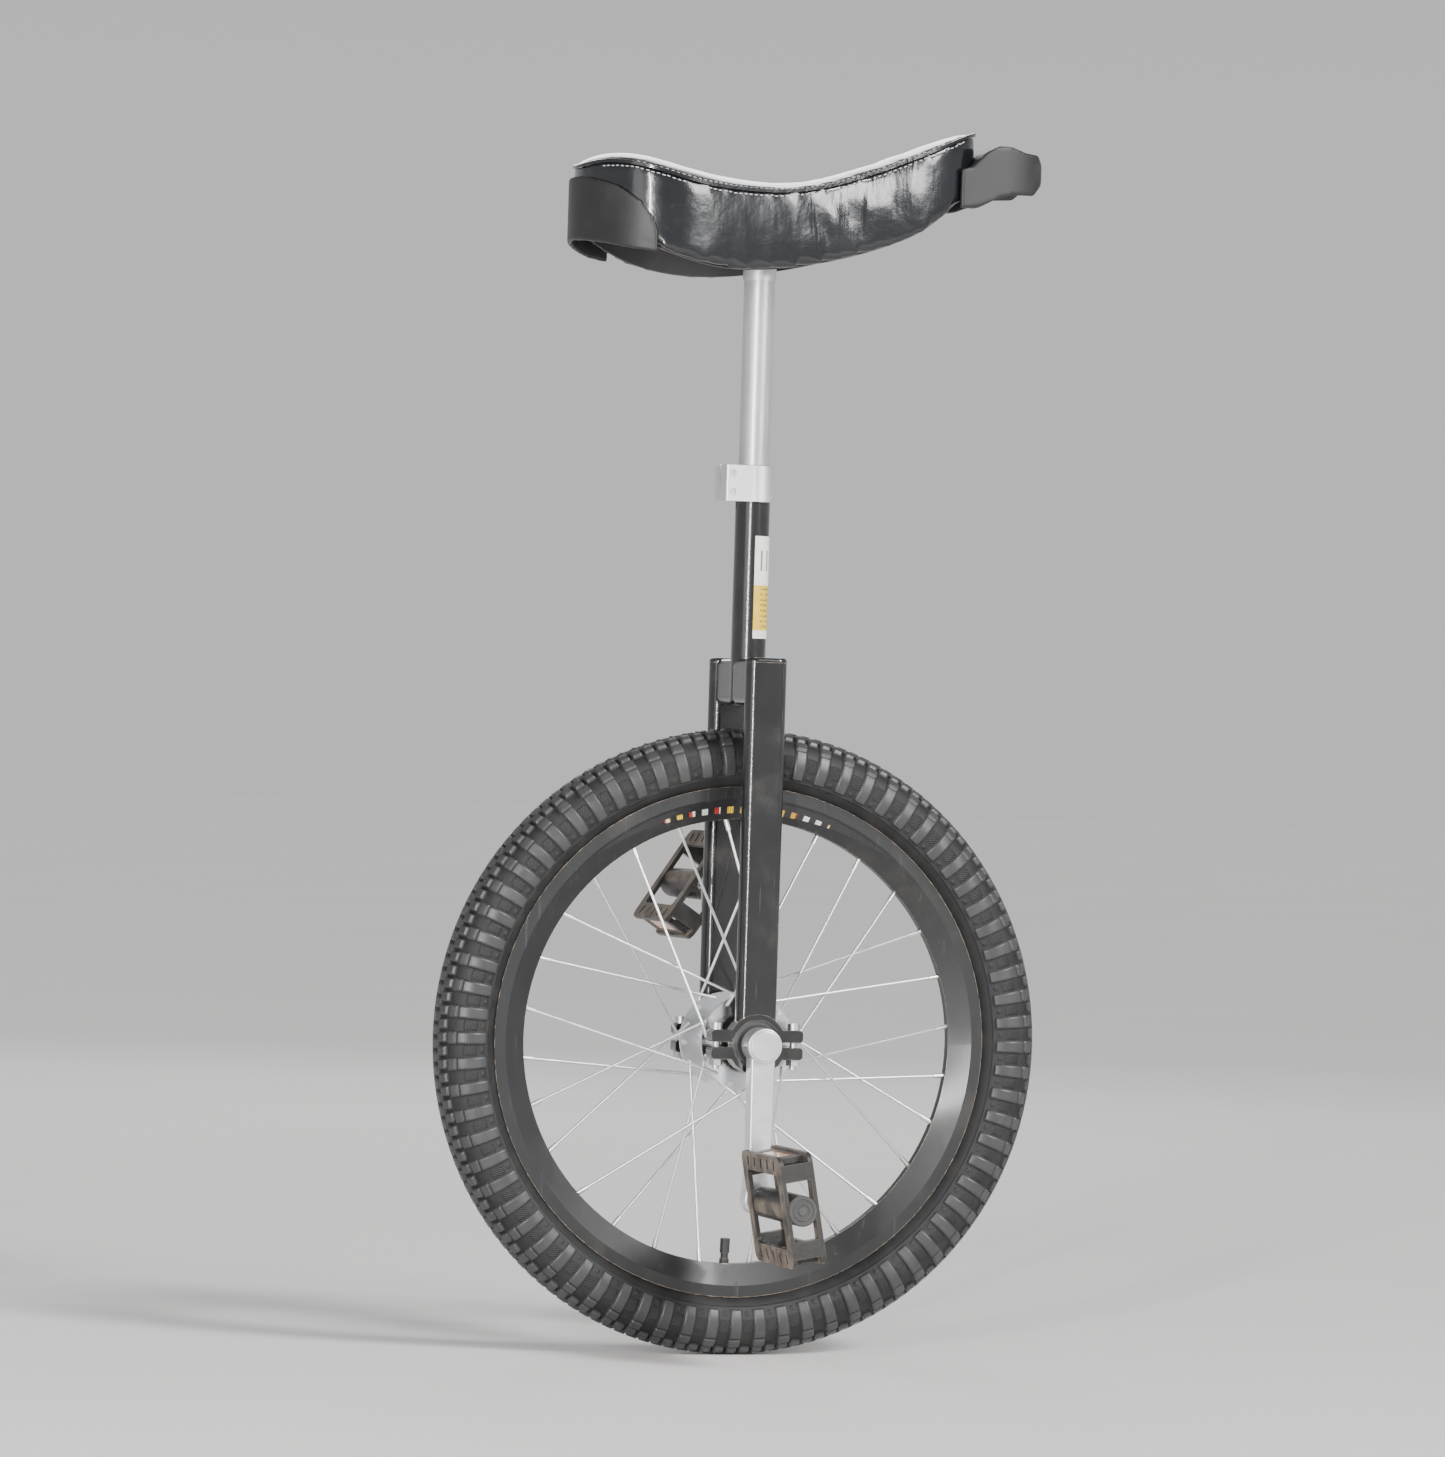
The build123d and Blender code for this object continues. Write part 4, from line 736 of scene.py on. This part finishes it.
class UnicycleStudioSettings(bpy.types.PropertyGroup):
    lens: bpy.props.FloatProperty(
        name="Lens", description="Focal length of the camera, in millimetres", default=160.6)
    roll: bpy.props.FloatProperty(
        name="Roll", description="Turn of the camera about its line of sight",
        subtype="ANGLE", default=math.radians(1.754))
    key: bpy.props.FloatProperty(
        name="Key light", description="Power of the large key light, in watts", default=125.0)
    strip: bpy.props.FloatProperty(
        name="Strip light", description="Power of the narrow upright light, in watts",
        default=150.0)
    daylight: bpy.props.FloatProperty(
        name="Daylight", description="Strength of the broad light from the front", default=2.6)
    sky: bpy.props.FloatProperty(
        name="Surroundings", description="Brightness of the pale surroundings", default=0.80)


# ------------------------------------------------------------------ operators

class UNICYCLE_OT_finishes(bpy.types.Operator):
    """Gives every carried-over piece of the unicycle its finish"""
    bl_idname = "unicycle.finishes"
    bl_label = "Finishes"

    def execute(self, context):
        s = context.scene.unicycle_finish
        chip = (0.62, 0.50, 0.42)
        upright = (1.0, 1.0, 0.05)
        paint = painted("frame_paint", tuple(s.paint), chip, 0.86, s.gloss, 0.5)
        zinc = bright_metal("zinc_plate", (0.72, 0.73, 0.74), 0.22)
        steel = bright_metal("bearing_steel", (0.62, 0.62, 0.62), 0.14)
        chrome = bright_metal("chrome", (0.92, 0.93, 0.94), 0.05, spots=0.70)
        satin = bright_metal("satin_aluminium", (0.84, 0.845, 0.85), 0.30, upright)
        alloy = cast_alloy("cast_alloy")
        black = moulded("black_rubber", (0.020, 0.020, 0.020), 0.5)
        guard = moulded("guard_plastic", tuple(s.plastic), 0.40, wear=0.12)
        under = moulded("base_plastic", (0.022, 0.022, 0.023), 0.48)
        table = {
            paint: "seat_tube crown_tubes fork_leg_right fork_leg_left leg_caps "
                   "bearing_holder_right bearing_holder_left "
                   "bearing_clamp_right bearing_clamp_left",
            zinc: "bearing_holder_bolts bearing_holder_nuts seat_clamp_bolts saddle_bolts "
                  "saddle_nuts saddle_washers pedal_locknuts crank_bolts post_bracket",
            bright_metal("oiled_steel", (0.10, 0.10, 0.10), 0.3): "bearing_outer_races",
            steel: "bearing_inner_races bearing_balls bearing_cages pedal_cups_right "
                   "pedal_cups_left pedal_balls_right pedal_balls_left pedal_spindles "
                   "axle_spacers",
            chrome: "hub_shell hub_axle",
            alloy: "crank_right crank_left crank_dust_caps",
            satin: "seat_clamp post_collar",
            black: "inner_tube valve_stem valve_cap bearing_shields",
            under: "saddle_base",
            knurled_post("knurled_post"): "seat_post",
            bright_metal("spoke_wire", (0.93, 0.93, 0.93), 0.24, spots=0.70):
                "spokes_right spokes_left",
            bright_metal("nipple_plate", (0.95, 0.95, 0.94), 0.22): "spoke_nipples",
            painted("rim_paint", tuple(c * 0.95 for c in s.paint), (0.72, 0.55, 0.40), 0.80,
                    s.gloss + 0.26, 0.1): "rim",
            rim_strip_tape("rim_strip_tape"): "rim_strip",
            rim_stripe("rim_stripe"): "rim_decals",
            sticker("tube_sticker"): "seat_tube_label",
            ringed_cap("ringed_cap_right"): "pedal_end_cap_right",
            ringed_cap("ringed_cap_left"): "pedal_end_cap_left",
            reflector("amber_prisms"): "pedal_reflectors_right pedal_reflectors_left",
            pedal_plastic("pedal_plastic_right", PEDAL_TILTS["right"]): "pedal_body_right",
            pedal_plastic("pedal_plastic_left", PEDAL_TILTS["left"]): "pedal_body_left",
            vinyl("piping_vinyl"): "saddle_piping saddle_cover",
            foam("saddle_foam"): "saddle_foam",
            guard: "rear_bumper front_handle",
            tyre_rubber("hidden_tyre"): "tyre",
        }
        named = set()
        for material, names in table.items():
            for name in names.split():
                mesh = NODES[name].data
                mesh.materials.clear()
                mesh.materials.append(material)
                named.add(name)
        if named != set(NODES):
            raise RuntimeError(f"no finish for {sorted(set(NODES) - named)}")
        return {"FINISHED"}


class UNICYCLE_OT_tyre(bpy.types.Operator):
    """Makes the tyre with its block tread"""
    bl_idname = "unicycle.tyre"
    bl_label = "Tyre"

    def execute(self, context):
        s = context.scene.unicycle_shape
        mesh = build_tyre(s.tyre_base, s.tyre_wall, RIM_R - BEAD_DEPTH)
        tyre = new_object("tyre_tread", mesh, tyre_rubber("tyre_rubber"), "wheel")
        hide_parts("tyre")
        return {"FINISHED"}


class UNICYCLE_OT_cushion(bpy.types.Operator):
    """Swells the saddle's cushion as cloth and sews its seams"""
    bl_idname = "unicycle.cushion"
    bl_label = "Saddle cushion"

    def execute(self, context):
        s = context.scene.unicycle_shape
        mesh = cushion_mesh(s.voxel, s.pressure, s.swell, PUFF_FRAMES)
        cover = vinyl("saddle_vinyl")
        cushion = new_object("saddle_cushion", mesh, cover, "seat")
        finer = cushion.modifiers.new("finer", "SUBSURF")
        finer.levels = finer.render_levels = 1
        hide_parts("saddle_cover", "saddle_foam")

        bpy.context.view_layer.update()
        surface = BVHTree.FromObject(cushion, bpy.context.evaluated_depsgraph_get())
        stitches = []
        for side, line in seam_lines().items():
            steps = np.linalg.norm(np.diff(line, axis=0), axis=1)
            along = np.concatenate([[0], np.cumsum(steps)])
            for at in np.arange(0.004, along[-1] - 0.004, s.stitch_pitch):
                here = Vector([np.interp(at, along, line[:, i]) for i in range(3)])
                ahead = Vector([np.interp(at + 0.003, along, line[:, i]) for i in range(3)])
                below = Vector((0, side * 0.004, -0.0032))
                above = Vector((0, -side * 0.0045, 0.0018))
                for offset in (below, above):
                    spot, normal, *_ = surface.find_nearest(here + offset)
                    stitches.append((spot + normal * (s.stitch_radius * 0.3), ahead - here, normal))
        mesh = beads("saddle_stitches", stitches, s.stitch_length, s.stitch_radius)
        new_object("saddle_stitches", mesh, thread("saddle_thread"), "seat")
        return {"FINISHED"}


class UNICYCLE_OT_guards(bpy.types.Operator):
    """Rounds the saddle's rear guard and front handle"""
    bl_idname = "unicycle.guards"
    bl_label = "Guard and handle"

    def execute(self, context):
        for node in ("rear_bumper", "front_handle"):
            material = NODES[node].data.materials[0]
            mesh = remeshed(merged(node, node), GUARD_VOXEL, GUARD_ROUNDS)
            piece = new_object(f"{node}_moulding", mesh, material, "seat")
            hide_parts(node)
        return {"FINISHED"}


class UNICYCLE_OT_stage(bpy.types.Operator):
    """Sets the pale backdrop, the lights and the camera"""
    bl_idname = "unicycle.stage"
    bl_label = "Stage"

    def execute(self, context):
        s = context.scene.unicycle_studio
        scene = context.scene
        forward = Vector(CAMERA_AIM).normalized()
        right = forward.cross(Vector((0, 0, 1))).normalized()
        up = right.cross(forward)
        turned_right = right * math.cos(s.roll) + up * math.sin(s.roll)
        turned_up = up * math.cos(s.roll) - right * math.sin(s.roll)
        data = bpy.data.cameras.new("camera")
        data.sensor_fit, data.sensor_width, data.lens = "AUTO", 36.0, s.lens
        data.clip_end = 60.0
        camera = placed("camera", data)
        turn = Matrix((turned_right, turned_up, -forward)).transposed()
        camera.matrix_world = Matrix.Translation(CAMERA_AT) @ turn.to_4x4()
        scene.camera = camera

        bm = bmesh.new()
        rings = [[bm.verts.new((radius * math.cos(a), radius * math.sin(a), 0.0))
                  for a in np.linspace(0, math.tau, FLOOR_SIDES, endpoint=False)]
                 for radius in FLOOR_RINGS]
        bm.faces.new(rings[0])
        for low, high in zip(rings, rings[1:]):
            for i in range(FLOOR_SIDES):
                bm.faces.new((low[i], high[i], high[i - 1], low[i - 1]))
        bmesh.ops.recalc_face_normals(bm, faces=bm.faces)
        mesh = bpy.data.meshes.new("floor")
        bm.to_mesh(mesh)
        bm.free()
        mesh.materials.append(studio_floor("floor_paper"))
        floor = placed("floor", mesh)

        powers = {"key": s.key, "fill": s.key * 0.15, "back": s.key * 0.25, "strip": s.strip}
        for name, (place, size) in AREA_LIGHTS.items():
            lamp = bpy.data.lights.new(name, "AREA")
            lamp.shape, lamp.energy = "RECTANGLE", powers[name]
            lamp.size, lamp.size_y = size
            light = placed(name, lamp)
            light.location = place
            aim = Vector(LIGHT_TARGET) - light.location
            if name == "strip":
                aim.z = 0.0
            light.rotation_mode = "QUATERNION"
            light.rotation_quaternion = aim.to_track_quat("-Z", "Y")
        lamp = bpy.data.lights.new("daylight", "SUN")
        lamp.energy, lamp.angle = s.daylight, math.radians(14)
        light = placed("daylight", lamp)
        light.rotation_mode = "QUATERNION"
        light.rotation_quaternion = Vector(DAYLIGHT_AIM).to_track_quat("-Z", "Y")
        world = bpy.data.worlds.new("studio")
        world.use_nodes = True
        sky = Nodes(world.node_tree)
        direction = sky.node("ShaderNodeTexCoord", output="Generated")
        height = sky.node("ShaderNodeSeparateXYZ", None, {0: direction}, output="Z")
        shades = [(at, (grey, grey, grey * 1.02)) for at, grey in SKY_SHADES]
        colour = sky.node("ShaderNodeValToRGB", {"stops": shades}, {"Fac": height})
        background = world.node_tree.nodes["Background"]
        sky.feed(background.inputs["Color"], colour)
        sky.feed(background.inputs["Strength"], s.sky)
        scene.world = world
        return {"FINISHED"}


class UNICYCLE_PT_panel(bpy.types.Panel):
    bl_label = "Unicycle"
    bl_idname = "UNICYCLE_PT_panel"
    bl_space_type = "VIEW_3D"
    bl_region_type = "UI"
    bl_category = "Unicycle"

    def draw(self, context):
        for group in ("unicycle_finish", "unicycle_shape", "unicycle_studio"):
            box = self.layout.box()
            settings = getattr(context.scene, group)
            for name in settings.__annotations__:
                box.prop(settings, name)
        for operator in OPERATORS:
            self.layout.operator(operator.bl_idname)


SETTINGS = {
    "unicycle_finish": UnicycleFinishSettings,
    "unicycle_shape": UnicycleShapeSettings,
    "unicycle_studio": UnicycleStudioSettings,
}
OPERATORS = (
    UNICYCLE_OT_stage,
    UNICYCLE_OT_finishes,
    UNICYCLE_OT_tyre,
    UNICYCLE_OT_cushion,
    UNICYCLE_OT_guards,
)
CLASSES = (*SETTINGS.values(), *OPERATORS, UNICYCLE_PT_panel)


def register():
    for cls in CLASSES:
        bpy.utils.register_class(cls)
    for name, group in SETTINGS.items():
        setattr(bpy.types.Scene, name, bpy.props.PointerProperty(type=group))


def unregister():
    for name in SETTINGS:
        delattr(bpy.types.Scene, name)
    for cls in reversed(CLASSES):
        bpy.utils.unregister_class(cls)


def main():
    register()
    for operator in OPERATORS:
        group, name = operator.bl_idname.split(".")
        getattr(getattr(bpy.ops, group), name)()


if __name__ == "__main__":
    main()
